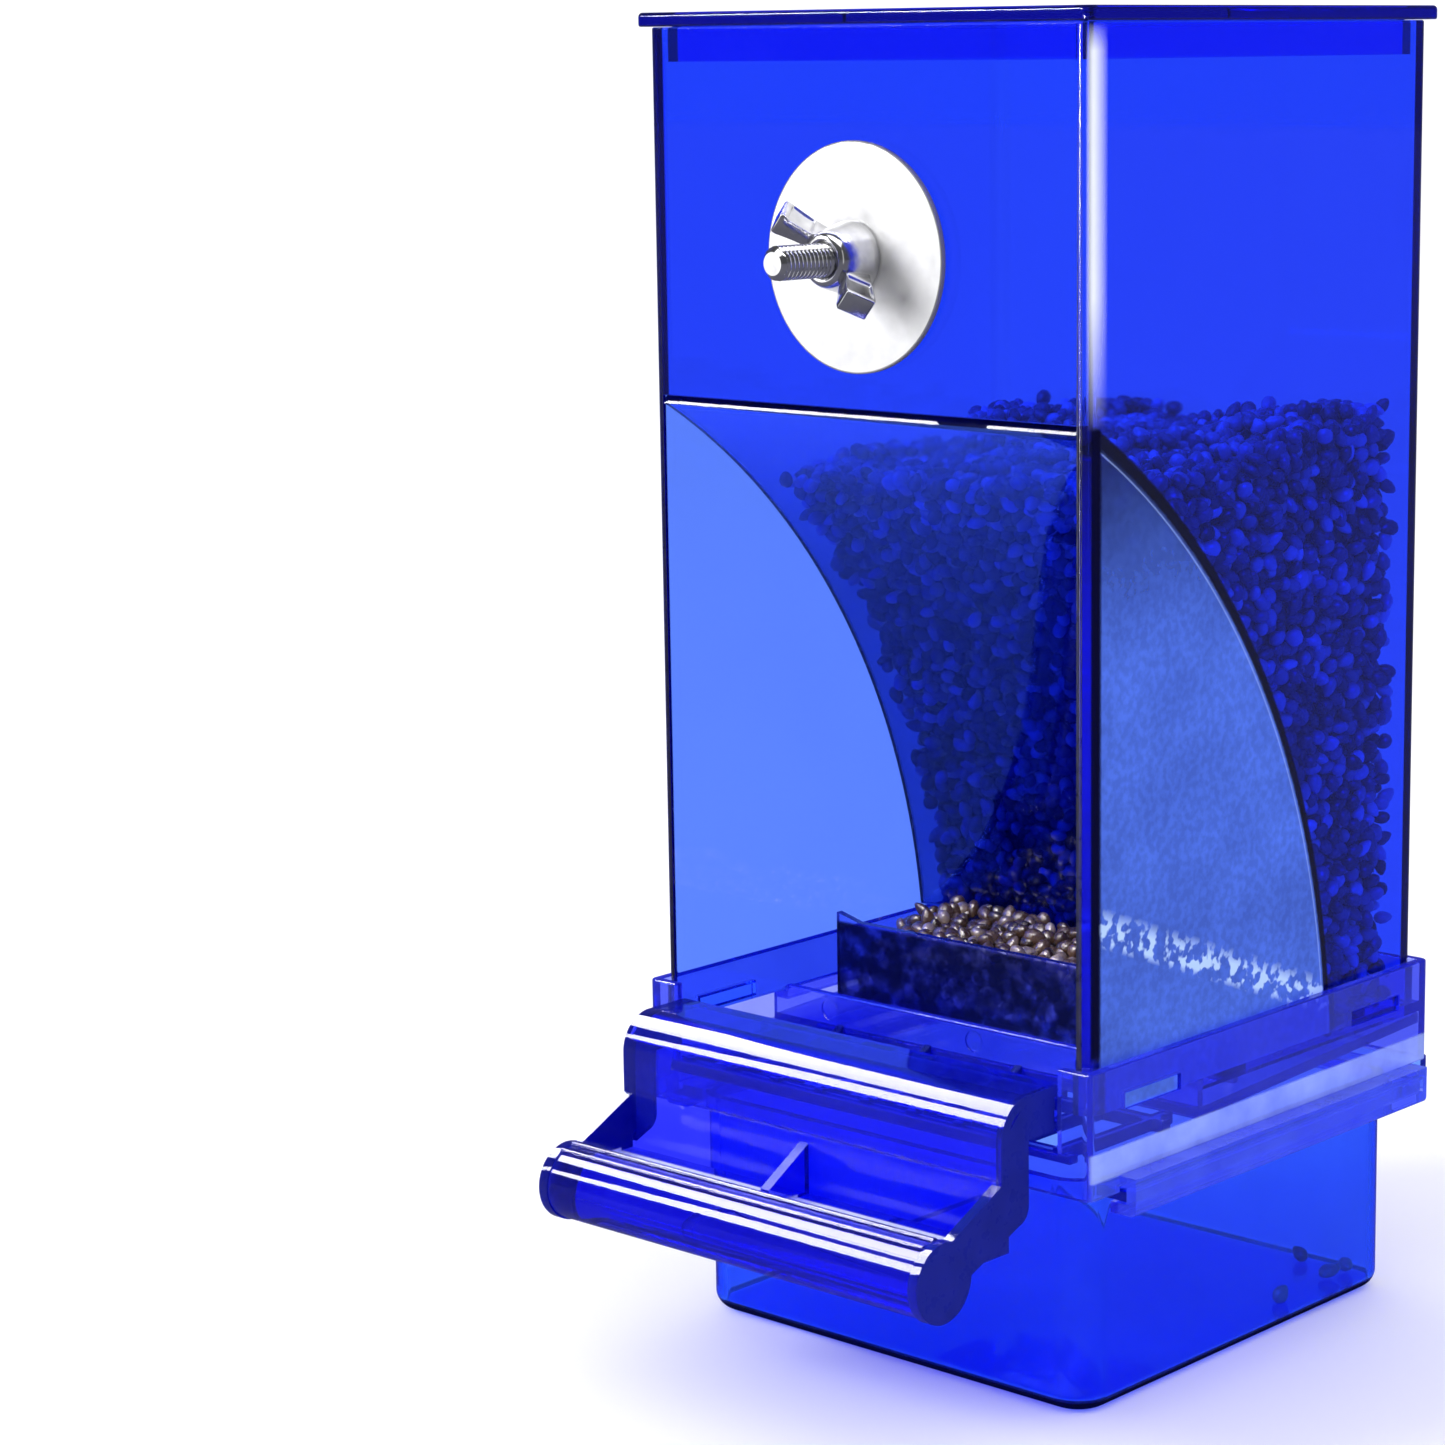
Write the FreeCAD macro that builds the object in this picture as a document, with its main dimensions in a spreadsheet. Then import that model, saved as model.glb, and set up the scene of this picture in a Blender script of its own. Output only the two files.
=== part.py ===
import FreeCAD, Part
import Sketcher
import os

# Cage-mounted gravity bird feeder, millimetres.
# Origin: centre of the husk drawer's underside, on the hopper's upright centre line.
# +Z is up, the bird opening and the perch face -Y, +X is the right hand seen from the front.

doc = FreeCAD.newDocument("bird_feeder")
size = doc.addObject("Spreadsheet::Sheet", "size")

DIMENSIONS = {
    # how far shapes that are joined or cut run into each other
    "overlap": 0.5,
    "lid_overlap": 0.2,
    # hopper: square tube moulded in one piece with four snap tabs
    "hopper_half": 50.25,
    "hopper_wall": 2.4,
    "hopper_corner": 2.5,
    "hopper_bore_corner": 0.6,
    "edge_round": 0.4,
    "hopper_bottom": 57.0,
    "hopper_top": 240.7,
    "window_top": 174.9,
    "tab_place": 34.5,
    "tab_length": 15.4,
    "tab_thick": 2.6,
    "tab_reach": 1.7,
    "tab_height": 58.3,
    # curved baffle: a plate bent to one arc about an axis along X
    "baffle_centre_y": -120.5,
    "baffle_centre_z": 50.0,
    "baffle_radius": 144.5,
    "baffle_thick": 2.5,
    "baffle_end_z": 67.0,
    # lid: plate over the rim with a skirt inside the hopper
    "lid_half": 51.7,
    "lid_corner": 1.6,
    "lid_gap": 0.1,
    "lid_thick": 2.5,
    "skirt_half": 47.3,
    "skirt_wall": 2.0,
    "skirt_depth": 6.2,
    "skirt_corner": 1.0,
    # base frame: square collar, front posts and sill, two drawer rails
    "frame_half": 52.5,
    "frame_wall": 2.0,
    "frame_corner": 1.6,
    "frame_bottom": 42.5,
    "frame_top": 65.0,
    "frame_side_bottom": 45.5,
    "ledge_inner": 47.5,
    "ledge_thick": 2.0,
    "slot_length": 16.0,
    "slot_low": 57.0,
    "slot_high": 60.0,
    "post_inner": 45.6,
    "sill_top": 49.7,
    "rail_outer": 56.0,
    "rail_bottom": 38.5,
    "rail_wall": 2.0,
    "rail_front": -44.0,
    "rail_back": 47.0,
    "rail_round": 1.2,
    # seed tray: sloping floor, trough wall and front lip
    "tray_front": -20.2,
    "tray_back": 50.4,
    "tray_half": 50.4,
    "tray_floor_thick": 2.0,
    "tray_front_low": 49.8,
    "tray_back_low": 52.7,
    "lip_thick": 1.5,
    "lip_shoulder": 56.8,
    "lip_top": 58.2,
    "trough_half": 47.3,
    "trough_place": -5.2,
    "trough_thick": 1.5,
    "trough_top": 68.4,
    "trough_corner_rise": 1.4,
    "trough_ear": 4.0,
    "mark_place_left": -36.0,
    "mark_place_middle": 0.0,
    "mark_place_right": 26.0,
    "mark_drop": 3.2,
    "ejector_radius": 2.0,
    "ejector_depth": 0.4,
    # husk grille: bars along Y with gussets against the tray's lip
    "grille_bottom": 48.0,
    "grille_top": 50.3,
    "grille_front": -50.5,
    "grille_half": 47.4,
    "bar_wide": 2.2,
    "bar_pitch": 11.0,
    "strip_back": -24.0,
    "strip_wide": 2.4,
    "gusset_rise": 2.3,
    "gusset_run": 4.5,
    "gusset_thick": 1.6,
    # perch bracket: folded skin with two end plates and a middle rib
    "bracket_half": 45.0,
    "tongue_half": 45.6,
    "tongue_back": -50.6,
    "tongue_low": 54.0,
    "bracket_top": 62.0,
    "bullnose_y": -60.0,
    "panel_front": -67.0,
    "bullnose_radius": 7.0,
    "skin": 2.0,
    "step_low": 35.4,
    "step_front": -76.5,
    "end_plate_back": -59.6,
    "end_plate_low": 41.0,
    "arm_inset": 0.4,
    "arm_heel_run": 2.4,
    "arm_heel_drop": 1.5,
    "arm_heel_rise": 1.4,
    "arm_heel_radius": 3.0,
    "end_plate_notch_z": 47.6,
    "end_plate_notch_y": -80.0,
    "rib_thick": 2.0,
    "rib_notch_z": 46.6,
    "rib_front": -77.4,
    "rib_front_z": 40.5,
    # perch bar with two grip ridges
    "perch_y": -82.0,
    "perch_z": 34.5,
    "perch_radius": 6.8,
    "perch_disc_radius": 7.1,
    "ridge_radius": 0.75,
    "ridge_tilt": 24.0,
    # husk drawer
    "drawer_half_x": 46.5,
    "drawer_front": -46.1,
    "drawer_back": 49.7,
    "drawer_top": 43.0,
    "drawer_wall": 2.0,
    "drawer_floor": 2.3,
    "drawer_corner": 7.0,
    "drawer_heel": 3.5,
    "flange_reach": 53.7,
    "flange_low": 40.8,
    "flange_front": -43.5,
    "flange_back": 46.5,
    "pull_half": 50.0,
    "pull_back": 56.0,
    "pull_low": 38.6,
    "pull_high": 45.0,
    "pull_wall": 2.0,
    # clamp: bolt through the hopper's front wall, disc and wing nut outside
    "bolt_place": 201.2,
    "bolt_radius": 3.0,
    "bolt_hole_radius": 3.3,
    "bolt_tip": -72.0,
    "bolt_chamfer": 0.7,
    "head_across_flats": 10.0,
    "head_thick": 4.0,
    "washer_radius": 9.0,
    "washer_hole_radius": 3.2,
    "washer_thick": 1.6,
    "disc_radius": 20.0,
    "disc_hole_radius": 3.2,
    "disc_thick": 1.2,
    "disc_gap": 0.1,
    "nut_bore_radius": 3.05,
    "hub_base_radius": 6.5,
    "hub_top_radius": 5.0,
    "hub_tall": 8.0,
    "nut_gap": 0.1,
    "wing_tip_radius": 13.6,
    "wing_tip_low": 5.0,
    "wing_tip_high": 12.0,
    "wing_thick": 4.4,
    "wing_turn": 40.0,
    "wing_root_inset": 0.8,
    "wing_root_low": 1.2,
    "wing_root_high": 7.2,
    "hub_base_tall": 2.0,
}

for row, (alias, value) in enumerate(DIMENSIONS.items(), start=1):
    size.set(f"A{row}", alias)
    size.set(f"B{row}", str(value))
    size.setAlias(f"B{row}", alias)
doc.recompute()


def number(expression):
    """The number that an expression of sheet cells gives."""
    return float(size.evalExpression(expression))


def minus(expression):
    return f"-({expression})"


# ---------------------------------------------------------------- sketching

def new_body(name):
    body = doc.addObject("PartDesign::Body", name)
    body.Label = name
    return body


def new_sketch(body, role, offset="0"):
    """An empty sketch on one of the body's own origin planes, moved along that plane's normal."""
    plane = next(item for item in body.Origin.OriginFeatures if item.Role == role)
    sketch = body.newObject("Sketcher::SketchObject", f"{body.Name}_sketch")
    sketch.AttachmentSupport = [(plane, "")]
    sketch.MapMode = "FlatFace"
    sketch.setExpression("AttachmentOffset.Base.z", offset)
    return sketch


def pin_point(sketch, edge, end, place):
    """Holds one end of an edge at a place given by two expressions."""
    for kind, expression in zip(("DistanceX", "DistanceY"), place):
        index = sketch.addConstraint(Sketcher.Constraint(kind, -1, 1, edge, end, number(expression)))
        sketch.setExpression(f"Constraints[{index}]", expression)


def draw_outline(sketch, corners):
    """A closed outline. A corner is (x, y) or (x, y, radius, side): the edge that leaves it is then an
    arc of that radius, bulging to the left (side 1) or to the right (side -1) of the way it runs."""
    count = len(corners)
    places = [FreeCAD.Vector(number(corner[0]), number(corner[1]), 0) for corner in corners]
    for index, corner in enumerate(corners):
        start = places[index]
        finish = places[(index + 1) % count]
        if len(corner) == 2:
            sketch.addGeometry(Part.LineSegment(start, finish))
            continue
        radius = number(corner[2])
        middle = (start + finish) * 0.5
        chord = finish - start
        outward = FreeCAD.Vector(-chord.y, chord.x, 0).normalize() * corner[3]
        rise = radius - (radius ** 2 - (chord.Length / 2) ** 2) ** 0.5
        sketch.addGeometry(Part.Arc(start, middle + outward * rise, finish))
    for index, corner in enumerate(corners):
        following = (index + 1) % count
        leaves = start_end(sketch, index, places[index])
        arrives = 3 - start_end(sketch, index, places[index])
        joined = start_end(sketch, following, places[following])
        sketch.addConstraint(Sketcher.Constraint("Coincident", index, arrives, following, joined))
        pin_point(sketch, index, leaves, corner[:2])
        if len(corner) == 4:
            bend = sketch.addConstraint(Sketcher.Constraint("Radius", index, number(corner[2])))
            sketch.setExpression(f"Constraints[{bend}]", corner[2])


def start_end(sketch, edge, place):
    """1 or 2: the end of an edge that lies at a place. An arc always runs anticlockwise."""
    first = sketch.getPoint(edge, 1)
    return 1 if first.distanceToPoint(place) < 1e-4 else 2


def draw_rounded_rectangle(sketch, low, high, radius):
    """A rectangle with round corners, run anticlockwise."""
    (x0, y0), (x1, y1) = low, high
    draw_outline(sketch, [
        (f"{x0} + {radius}", y0),
        (f"{x1} - {radius}", y0, radius, -1),
        (x1, f"{y0} + {radius}"),
        (x1, f"{y1} - {radius}", radius, -1),
        (f"{x1} - {radius}", y1),
        (f"{x0} + {radius}", y1, radius, -1),
        (x0, f"{y1} - {radius}"),
        (x0, f"{y0} + {radius}", radius, -1),
    ])


def draw_circle(sketch, radius):
    """A circle about the sketch's origin."""
    centre = FreeCAD.Vector(0, 0, 0)
    edge = sketch.addGeometry(Part.Circle(centre, FreeCAD.Vector(0, 0, 1), number(radius)))
    sketch.addConstraint(Sketcher.Constraint("Coincident", edge, 3, -1, 1))
    index = sketch.addConstraint(Sketcher.Constraint("Radius", edge, number(radius)))
    sketch.setExpression(f"Constraints[{index}]", radius)


def pad(body, sketch, length, both_ways=False):
    feature = body.newObject("PartDesign::Pad", f"{body.Name}_pad")
    feature.Profile = sketch
    feature.SideType = "Symmetric" if both_ways else "One side"
    feature.setExpression("Length", length)
    return feature


def pocket(body, sketch, length, along_normal=False):
    """Cuts against the sketch's normal, or along it, and makes sure that something was cut."""
    doc.recompute()
    before = body.Shape.Volume
    feature = body.newObject("PartDesign::Pocket", f"{body.Name}_pocket")
    feature.Profile = sketch
    feature.Reversed = along_normal
    feature.setExpression("Length", length)
    doc.recompute()
    if body.Shape.Volume > before - 1:
        raise RuntimeError(f"{feature.Name} cuts nothing")
    return feature


def body_box(body, low, high, add=True):
    """Adds a box to the body, or cuts one from it, between two corners given by expressions."""
    kind = "PartDesign::AdditiveBox" if add else "PartDesign::SubtractiveBox"
    feature = body.newObject(kind, f"{body.Name}_box")
    place_box(feature, low, high)
    return feature


def place_box(feature, low, high):
    for side, axis, start, finish in zip(("Length", "Width", "Height"), "xyz", low, high):
        feature.setExpression(side, f"({finish}) - ({start})")
        feature.setExpression(f"Placement.Base.{axis}", start)


def round_edges(body, radius, wanted):
    """Rounds the edges of the body's shape so far whose bounding boxes pass the test."""
    doc.recompute()
    base = body.Tip
    names = [f"Edge{index}" for index, edge in enumerate(base.Shape.Edges, start=1) if wanted(edge.BoundBox)]
    feature = body.newObject("PartDesign::Fillet", f"{body.Name}_fillet")
    feature.Base = (base, names)
    feature.setExpression("Radius", radius)


def flat_at(height):
    """A test for edges that lie in the level plane at a height given by an expression."""
    level = number(height)
    return lambda box: abs(box.ZMin - level) < 1e-4 and abs(box.ZMax - level) < 1e-4


def mirrored(side, inner, outer):
    """Low and high X of something between two distances from the centre, on side 1 or -1."""
    return (inner, outer) if side > 0 else (minus(outer), minus(inner))


def turn_placement(item, axis, angle):
    item.Placement.Rotation = FreeCAD.Rotation(FreeCAD.Vector(*axis), angle)


# ---------------------------------------------------------------- hopper and lid

def make_hopper_shell():
    body = new_body("hopper_shell")
    outline = new_sketch(body, "XY_Plane", "size.hopper_bottom")
    half = "size.hopper_half"
    draw_rounded_rectangle(outline, (minus(half), minus(half)), (half, half), "size.hopper_corner")
    pad(body, outline, "size.hopper_top - size.hopper_bottom")

    bore_half = "(size.hopper_half - size.hopper_wall)"
    bore = new_sketch(body, "XY_Plane", "size.hopper_top")
    low = (minus(bore_half), minus(bore_half))
    draw_rounded_rectangle(bore, low, (bore_half, bore_half), "size.hopper_bore_corner")
    pocket(body, bore, "size.hopper_top - size.hopper_bottom")

    # the bird's opening takes the front wall away below window_top
    body_box(
        body,
        (minus(bore_half), minus("size.hopper_half + 1"), "size.hopper_bottom - 1"),
        (bore_half, minus("size.hopper_half - size.hopper_wall - size.overlap"), "size.window_top"),
        add=False,
    )
    for side in (1, -1):
        low_x, high_x = mirrored(side, "size.hopper_half - size.overlap", "size.hopper_half + size.tab_reach")
        for end in (1, -1):
            body_box(
                body,
                (low_x, f"{end} * size.tab_place - size.tab_length / 2", "size.tab_height - size.tab_thick / 2"),
                (high_x, f"{end} * size.tab_place + size.tab_length / 2", "size.tab_height + size.tab_thick / 2"),
            )
    hole = body.newObject("PartDesign::SubtractiveCylinder", "bolt_hole")
    hole.setExpression("Radius", "size.bolt_hole_radius")
    hole.setExpression("Height", "size.hopper_wall * 3")
    turn_placement(hole, (1, 0, 0), 90)
    hole.setExpression("Placement.Base.y", "-size.hopper_half + size.hopper_wall * 2")
    hole.setExpression("Placement.Base.z", "size.bolt_place")
    round_edges(body, "size.edge_round", flat_at("size.hopper_top"))
    return body


def make_curved_baffle():
    """The arc starts under the front wall and ends above the trough."""
    body = new_body("curved_baffle")
    profile = new_sketch(body, "YZ_Plane")
    outer = "size.baffle_radius"
    inner = "(size.baffle_radius - size.baffle_thick)"
    centre_y = "size.baffle_centre_y"
    centre_z = "size.baffle_centre_z"
    top = "size.window_top"
    front = "-size.hopper_half"
    rise = f"({top} - {centre_z})"
    reach = f"({front} - {centre_y})"
    drop = f"(size.baffle_end_z - {centre_z})"
    draw_outline(profile, [
        (front, top),
        (f"{centre_y} + sqrt({outer} ^ 2 - {rise} ^ 2)", top, outer, 1),
        (f"{centre_y} + sqrt({outer} ^ 2 - {drop} ^ 2)", f"{centre_z} + {drop}"),
        (f"{centre_y} + sqrt({inner} ^ 2 - {drop} ^ 2)", f"{centre_z} + {drop}", inner, -1),
        (front, f"{centre_z} + sqrt({inner} ^ 2 - {reach} ^ 2)"),
    ])
    pad(body, profile, "2 * (size.hopper_half - size.hopper_wall)", both_ways=True)
    return body


def make_lid():
    body = new_body("lid")
    underside = "(size.hopper_top + size.lid_gap)"
    plate = new_sketch(body, "XY_Plane", underside)
    half = "size.lid_half"
    draw_rounded_rectangle(plate, (minus(half), minus(half)), (half, half), "size.lid_corner")
    pad(body, plate, "size.lid_thick")
    round_edges(body, "2 * size.edge_round", flat_at(f"{underside} + size.lid_thick"))
    round_edges(body, "size.edge_round", flat_at(underside))

    skirt = new_sketch(body, "XY_Plane", f"{underside} - size.skirt_depth")
    half = "size.skirt_half"
    draw_rounded_rectangle(skirt, (minus(half), minus(half)), (half, half), "size.skirt_corner")
    pad(body, skirt, "size.skirt_depth + size.lid_overlap")
    hollow = "(size.skirt_half - size.skirt_wall)"
    body_box(
        body,
        (minus(hollow), minus(hollow), f"{underside} - size.skirt_depth - 1"),
        (hollow, hollow, underside),
        add=False,
    )
    return body


# ---------------------------------------------------------------- base frame, tray and grille

def make_base_frame():
    body = new_body("base_frame")
    outline = new_sketch(body, "XY_Plane", "size.frame_bottom")
    half = "size.frame_half"
    draw_rounded_rectangle(outline, (minus(half), minus(half)), (half, half), "size.frame_corner")
    pad(body, outline, "size.frame_top - size.frame_bottom")

    inside = "(size.frame_half - size.frame_wall)"
    body_box(
        body,
        (minus(inside), minus(inside), "size.frame_bottom - 1"),
        (inside, inside, "size.frame_top + size.overlap"),
        add=False,
    )
    # the front stays open between the posts, above the sill
    body_box(
        body,
        ("-size.post_inner", "-size.frame_half - 1", "size.sill_top"),
        ("size.post_inner", minus(f"{inside} - size.overlap"), "size.frame_top + size.overlap"),
        add=False,
    )
    # the sides and the back stop above the drawer
    body_box(
        body,
        ("-size.frame_half - 1", "size.rail_front", "size.frame_bottom - 1"),
        ("size.frame_half + size.overlap", "size.frame_half + size.overlap", "size.frame_side_bottom"),
        add=False,
    )
    for side in (1, -1):
        add_frame_side(body, side, inside)
    # the back ledge
    body_box(
        body,
        (minus(inside), "size.ledge_inner", "size.hopper_bottom - size.ledge_thick"),
        (inside, f"{inside} + size.overlap", "size.hopper_bottom"),
    )
    round_edges(body, "size.edge_round", flat_at("size.frame_top"))
    rail_edge = number("size.rail_outer")
    rail_level = number("size.rail_bottom")
    round_edges(
        body,
        "size.rail_round",
        lambda box: abs(box.ZMax - rail_level) < 1e-4 and min(abs(box.XMin), abs(box.XMax)) > rail_edge - 1e-4,
    )
    return body


def add_frame_side(body, side, inside):
    """One side of the frame: ledge, two tab slots and the C-shaped drawer rail."""
    low_x, high_x = mirrored(side, "size.ledge_inner", f"{inside} + size.overlap")
    body_box(
        body,
        (low_x, "size.tray_front + size.lip_thick", "size.hopper_bottom - size.ledge_thick"),
        (high_x, f"{inside} + size.overlap", "size.hopper_bottom"),
    )
    for end in (1, -1):
        low_x, high_x = mirrored(side, f"{inside} - size.overlap", "size.frame_half + size.overlap")
        body_box(
            body,
            (low_x, f"{end} * size.tab_place - size.slot_length / 2", "size.slot_low"),
            (high_x, f"{end} * size.tab_place + size.slot_length / 2", "size.slot_high"),
            add=False,
        )
    sections = (
        (inside, "size.frame_side_bottom - size.rail_wall", "size.frame_side_bottom"),
        ("size.rail_outer - size.rail_wall", "size.rail_bottom", "size.frame_side_bottom"),
        (inside, "size.rail_bottom", "size.rail_bottom + size.rail_wall"),
    )
    for inner, low, high in sections:
        low_x, high_x = mirrored(side, inner, "size.rail_outer")
        body_box(body, (low_x, "size.rail_front", low), (high_x, "size.rail_back", high))


def make_seed_tray():
    body = new_body("seed_tray")
    thick = "size.tray_floor_thick"
    floor = new_sketch(body, "YZ_Plane")
    draw_outline(floor, [
        ("size.tray_front", "size.tray_front_low"),
        ("size.tray_back", "size.tray_back_low"),
        ("size.tray_back", f"size.tray_back_low + {thick}"),
        ("size.tray_front", f"size.tray_front_low + {thick}"),
    ])
    pad(body, floor, "2 * size.tray_half", both_ways=True)

    # the lip's ends pass under the hopper's side walls
    lip = new_sketch(body, "XZ_Plane", "-size.tray_front - size.lip_thick")
    draw_outline(lip, [
        ("-size.tray_half", "size.tray_front_low"),
        ("size.tray_half", "size.tray_front_low"),
        ("size.tray_half", "size.lip_shoulder"),
        ("size.trough_half", "size.lip_shoulder"),
        ("size.trough_half", "size.lip_top"),
        ("-size.trough_half", "size.lip_top"),
        ("-size.trough_half", "size.lip_shoulder"),
        ("-size.tray_half", "size.lip_shoulder"),
    ])
    pad(body, lip, "size.lip_thick")

    # the trough wall rises to a small point at each end
    wall = new_sketch(body, "XZ_Plane", "-size.trough_place - size.trough_thick")
    rise = "size.trough_corner_rise"
    draw_outline(wall, [
        ("-size.trough_half", "size.tray_front_low + size.tray_floor_thick"),
        ("size.trough_half", "size.tray_front_low + size.tray_floor_thick"),
        ("size.trough_half", f"size.trough_top + {rise}"),
        (f"size.trough_half - size.trough_ear * {rise}", "size.trough_top"),
        (f"-size.trough_half + size.trough_ear * {rise}", "size.trough_top"),
        ("-size.trough_half", f"size.trough_top + {rise}"),
    ])
    pad(body, wall, "size.trough_thick")

    # ejector pins leave shallow round marks in the lip's front face
    for place in ("size.mark_place_left", "size.mark_place_middle", "size.mark_place_right"):
        mark = body.newObject("PartDesign::SubtractiveCylinder", "ejector_mark")
        mark.setExpression("Radius", "size.ejector_radius")
        mark.setExpression("Height", "size.ejector_depth * 2")
        turn_placement(mark, (1, 0, 0), 90)
        mark.setExpression("Placement.Base.x", place)
        mark.setExpression("Placement.Base.y", "size.tray_front + size.ejector_depth")
        mark.setExpression("Placement.Base.z", "size.lip_top - size.mark_drop")
    round_edges(body, "size.edge_round", flat_at("size.lip_top"))
    return body


def make_husk_grille():
    """Nine bars, and a gusset on each bar next to the middle one and next to the ends."""
    body = new_body("husk_grille")
    low_z = "size.grille_bottom"
    high_z = "size.grille_top"
    body_box(
        body,
        ("-size.grille_half", "size.strip_back - size.strip_wide", low_z),
        ("size.grille_half", "size.strip_back", high_z),
    )
    body_box(
        body,
        ("-size.grille_half", "size.grille_front", low_z),
        ("size.grille_half", "size.grille_front + size.strip_wide", "size.sill_top"),
    )
    for place in range(-4, 5):
        centre = f"{place} * size.bar_pitch"
        body_box(
            body,
            (f"{centre} - size.bar_wide / 2", "size.grille_front", low_z),
            (f"{centre} + size.bar_wide / 2", "size.tray_front", high_z),
        )
        if place % 2:
            gusset = new_sketch(body, "YZ_Plane", f"{centre}")
            draw_outline(gusset, [
                ("size.tray_front", f"{high_z} - size.overlap"),
                ("size.tray_front", f"{high_z} + size.gusset_rise"),
                ("size.tray_front - size.gusset_run", f"{high_z} - size.overlap"),
            ])
            pad(body, gusset, "size.gusset_thick", both_ways=True)
    return body


# ---------------------------------------------------------------- perch

def make_perch_bracket():
    body = new_body("perch_bracket")
    front = "size.panel_front"
    top = "size.bracket_top"
    skin = "size.skin"
    bull = "size.bullnose_radius"
    profile = new_sketch(body, "YZ_Plane")
    # tongue, top plate, bullnose, front panel and the step that carries the bar
    draw_outline(profile, [
        ("size.tongue_back", "size.tongue_low"),
        ("size.tongue_back", top),
        ("size.bullnose_y", top, bull, -1),
        (front, f"{top} - {bull}"),
        (front, f"size.step_low + {skin}"),
        ("size.step_front", f"size.step_low + {skin}"),
        ("size.step_front", "size.step_low"),
        (f"{front} + {skin}", "size.step_low"),
        (f"{front} + {skin}", f"{top} - {bull}", f"{bull} - {skin}", 1),
        ("size.bullnose_y", f"{top} - {skin}"),
        (f"size.tongue_back - {skin}", f"{top} - {skin}"),
        (f"size.tongue_back - {skin}", "size.tongue_low"),
    ])
    pad(body, profile, "2 * size.bracket_half", both_ways=True)
    # the tongue reaches the posts on both sides
    body_box(
        body,
        ("-size.tongue_half", f"size.tongue_back - {skin}", "size.tongue_low"),
        ("size.tongue_half", "size.tongue_back", f"{top} - {skin}"),
    )
    rib = new_sketch(body, "YZ_Plane")
    draw_outline(rib, [
        (f"{front} + size.overlap", "size.step_low + size.overlap"),
        (f"{front} + size.overlap", "size.rib_notch_z"),
        (front, "size.rib_notch_z"),
        ("size.rib_front", "size.rib_front_z"),
        ("size.step_front", "size.step_low + size.overlap"),
    ])
    pad(body, rib, "size.rib_thick", both_ways=True)
    # the step and the rib are hollowed to seat the bar, and the end plates close over its ends
    seat = body.newObject("PartDesign::SubtractiveCylinder", "bar_seat")
    lay_along_x(seat, "size.perch_radius", "2 * size.bracket_half", "0")
    for side in (1, -1):
        add_end_plate(body, side)
    return body


def lay_along_x(cylinder, radius, length, centre):
    """Sizes a cylinder and lays it along the perch's axis, about a place on X."""
    cylinder.setExpression("Radius", radius)
    cylinder.setExpression("Height", length)
    turn_placement(cylinder, (0, 1, 0), 90)
    cylinder.setExpression("Placement.Base.x", f"{centre} - ({length}) / 2")
    cylinder.setExpression("Placement.Base.y", "size.perch_y")
    cylinder.setExpression("Placement.Base.z", "size.perch_z")


def add_end_plate(body, side):
    """An end plate: web under the top plate, arm that slopes down to the bar, disc over the bar's end."""
    centre = f"{side} * (size.bracket_half - size.skin / 2)"
    top = "size.bracket_top"
    heel_y = "size.end_plate_back - size.arm_heel_run"
    heel_z = "size.end_plate_low - size.arm_heel_drop"
    arm = new_sketch(body, "YZ_Plane", centre)
    draw_outline(arm, [
        ("size.end_plate_back", f"{top} - size.overlap"),
        ("size.bullnose_y", f"{top} - size.overlap"),
        ("size.panel_front + size.overlap", f"{top} - size.bullnose_radius"),
        ("size.panel_front + size.overlap", "size.end_plate_notch_z"),
        ("size.panel_front", "size.end_plate_notch_z"),
        ("size.end_plate_notch_y", "size.perch_z + size.perch_disc_radius - size.arm_inset"),
        ("size.perch_y", "size.perch_z"),
        ("size.perch_y + size.perch_disc_radius", "size.perch_z - size.arm_inset"),
        (heel_y, heel_z, "size.arm_heel_radius", -1),
        ("size.end_plate_back", "size.end_plate_low + size.arm_heel_rise"),
    ])
    pad(body, arm, "size.skin", both_ways=True)
    web = new_sketch(body, "YZ_Plane", centre)
    draw_outline(web, [
        ("size.end_plate_back - size.overlap", "size.tongue_low"),
        ("size.tongue_back", "size.tongue_low"),
        ("size.tongue_back", f"{top} - size.overlap"),
        ("size.end_plate_back - size.overlap", f"{top} - size.overlap"),
    ])
    pad(body, web, "size.skin", both_ways=True)
    disc = body.newObject("PartDesign::AdditiveCylinder", "end_disc")
    lay_along_x(disc, "size.perch_disc_radius", "size.skin", centre)


def make_perch_bar():
    """A round bar along X, drawn about its own axis, with two grip ridges on its top."""
    body = new_body("perch_bar")
    half = "(size.bracket_half - size.skin)"
    for tilt in ("0", "size.ridge_tilt"):
        ridge = body.newObject("PartDesign::AdditiveCylinder", "grip_ridge")
        ridge.setExpression("Radius", "size.ridge_radius")
        ridge.setExpression("Height", f"2 * {half}")
        turn_placement(ridge, (0, 1, 0), 90)
        ridge.setExpression("Placement.Base.x", minus(half))
        ridge.setExpression("Placement.Base.y", f"-size.perch_radius * sin({tilt} * 1deg)")
        ridge.setExpression("Placement.Base.z", f"size.perch_radius * cos({tilt} * 1deg)")
        if tilt == "0":
            bar_outline = new_sketch(body, "YZ_Plane")
            draw_circle(bar_outline, "size.perch_radius")
            pad(body, bar_outline, f"2 * {half}", both_ways=True)
    body.setExpression("Placement.Base.y", "size.perch_y")
    body.setExpression("Placement.Base.z", "size.perch_z")
    return body


# ---------------------------------------------------------------- drawer

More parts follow.
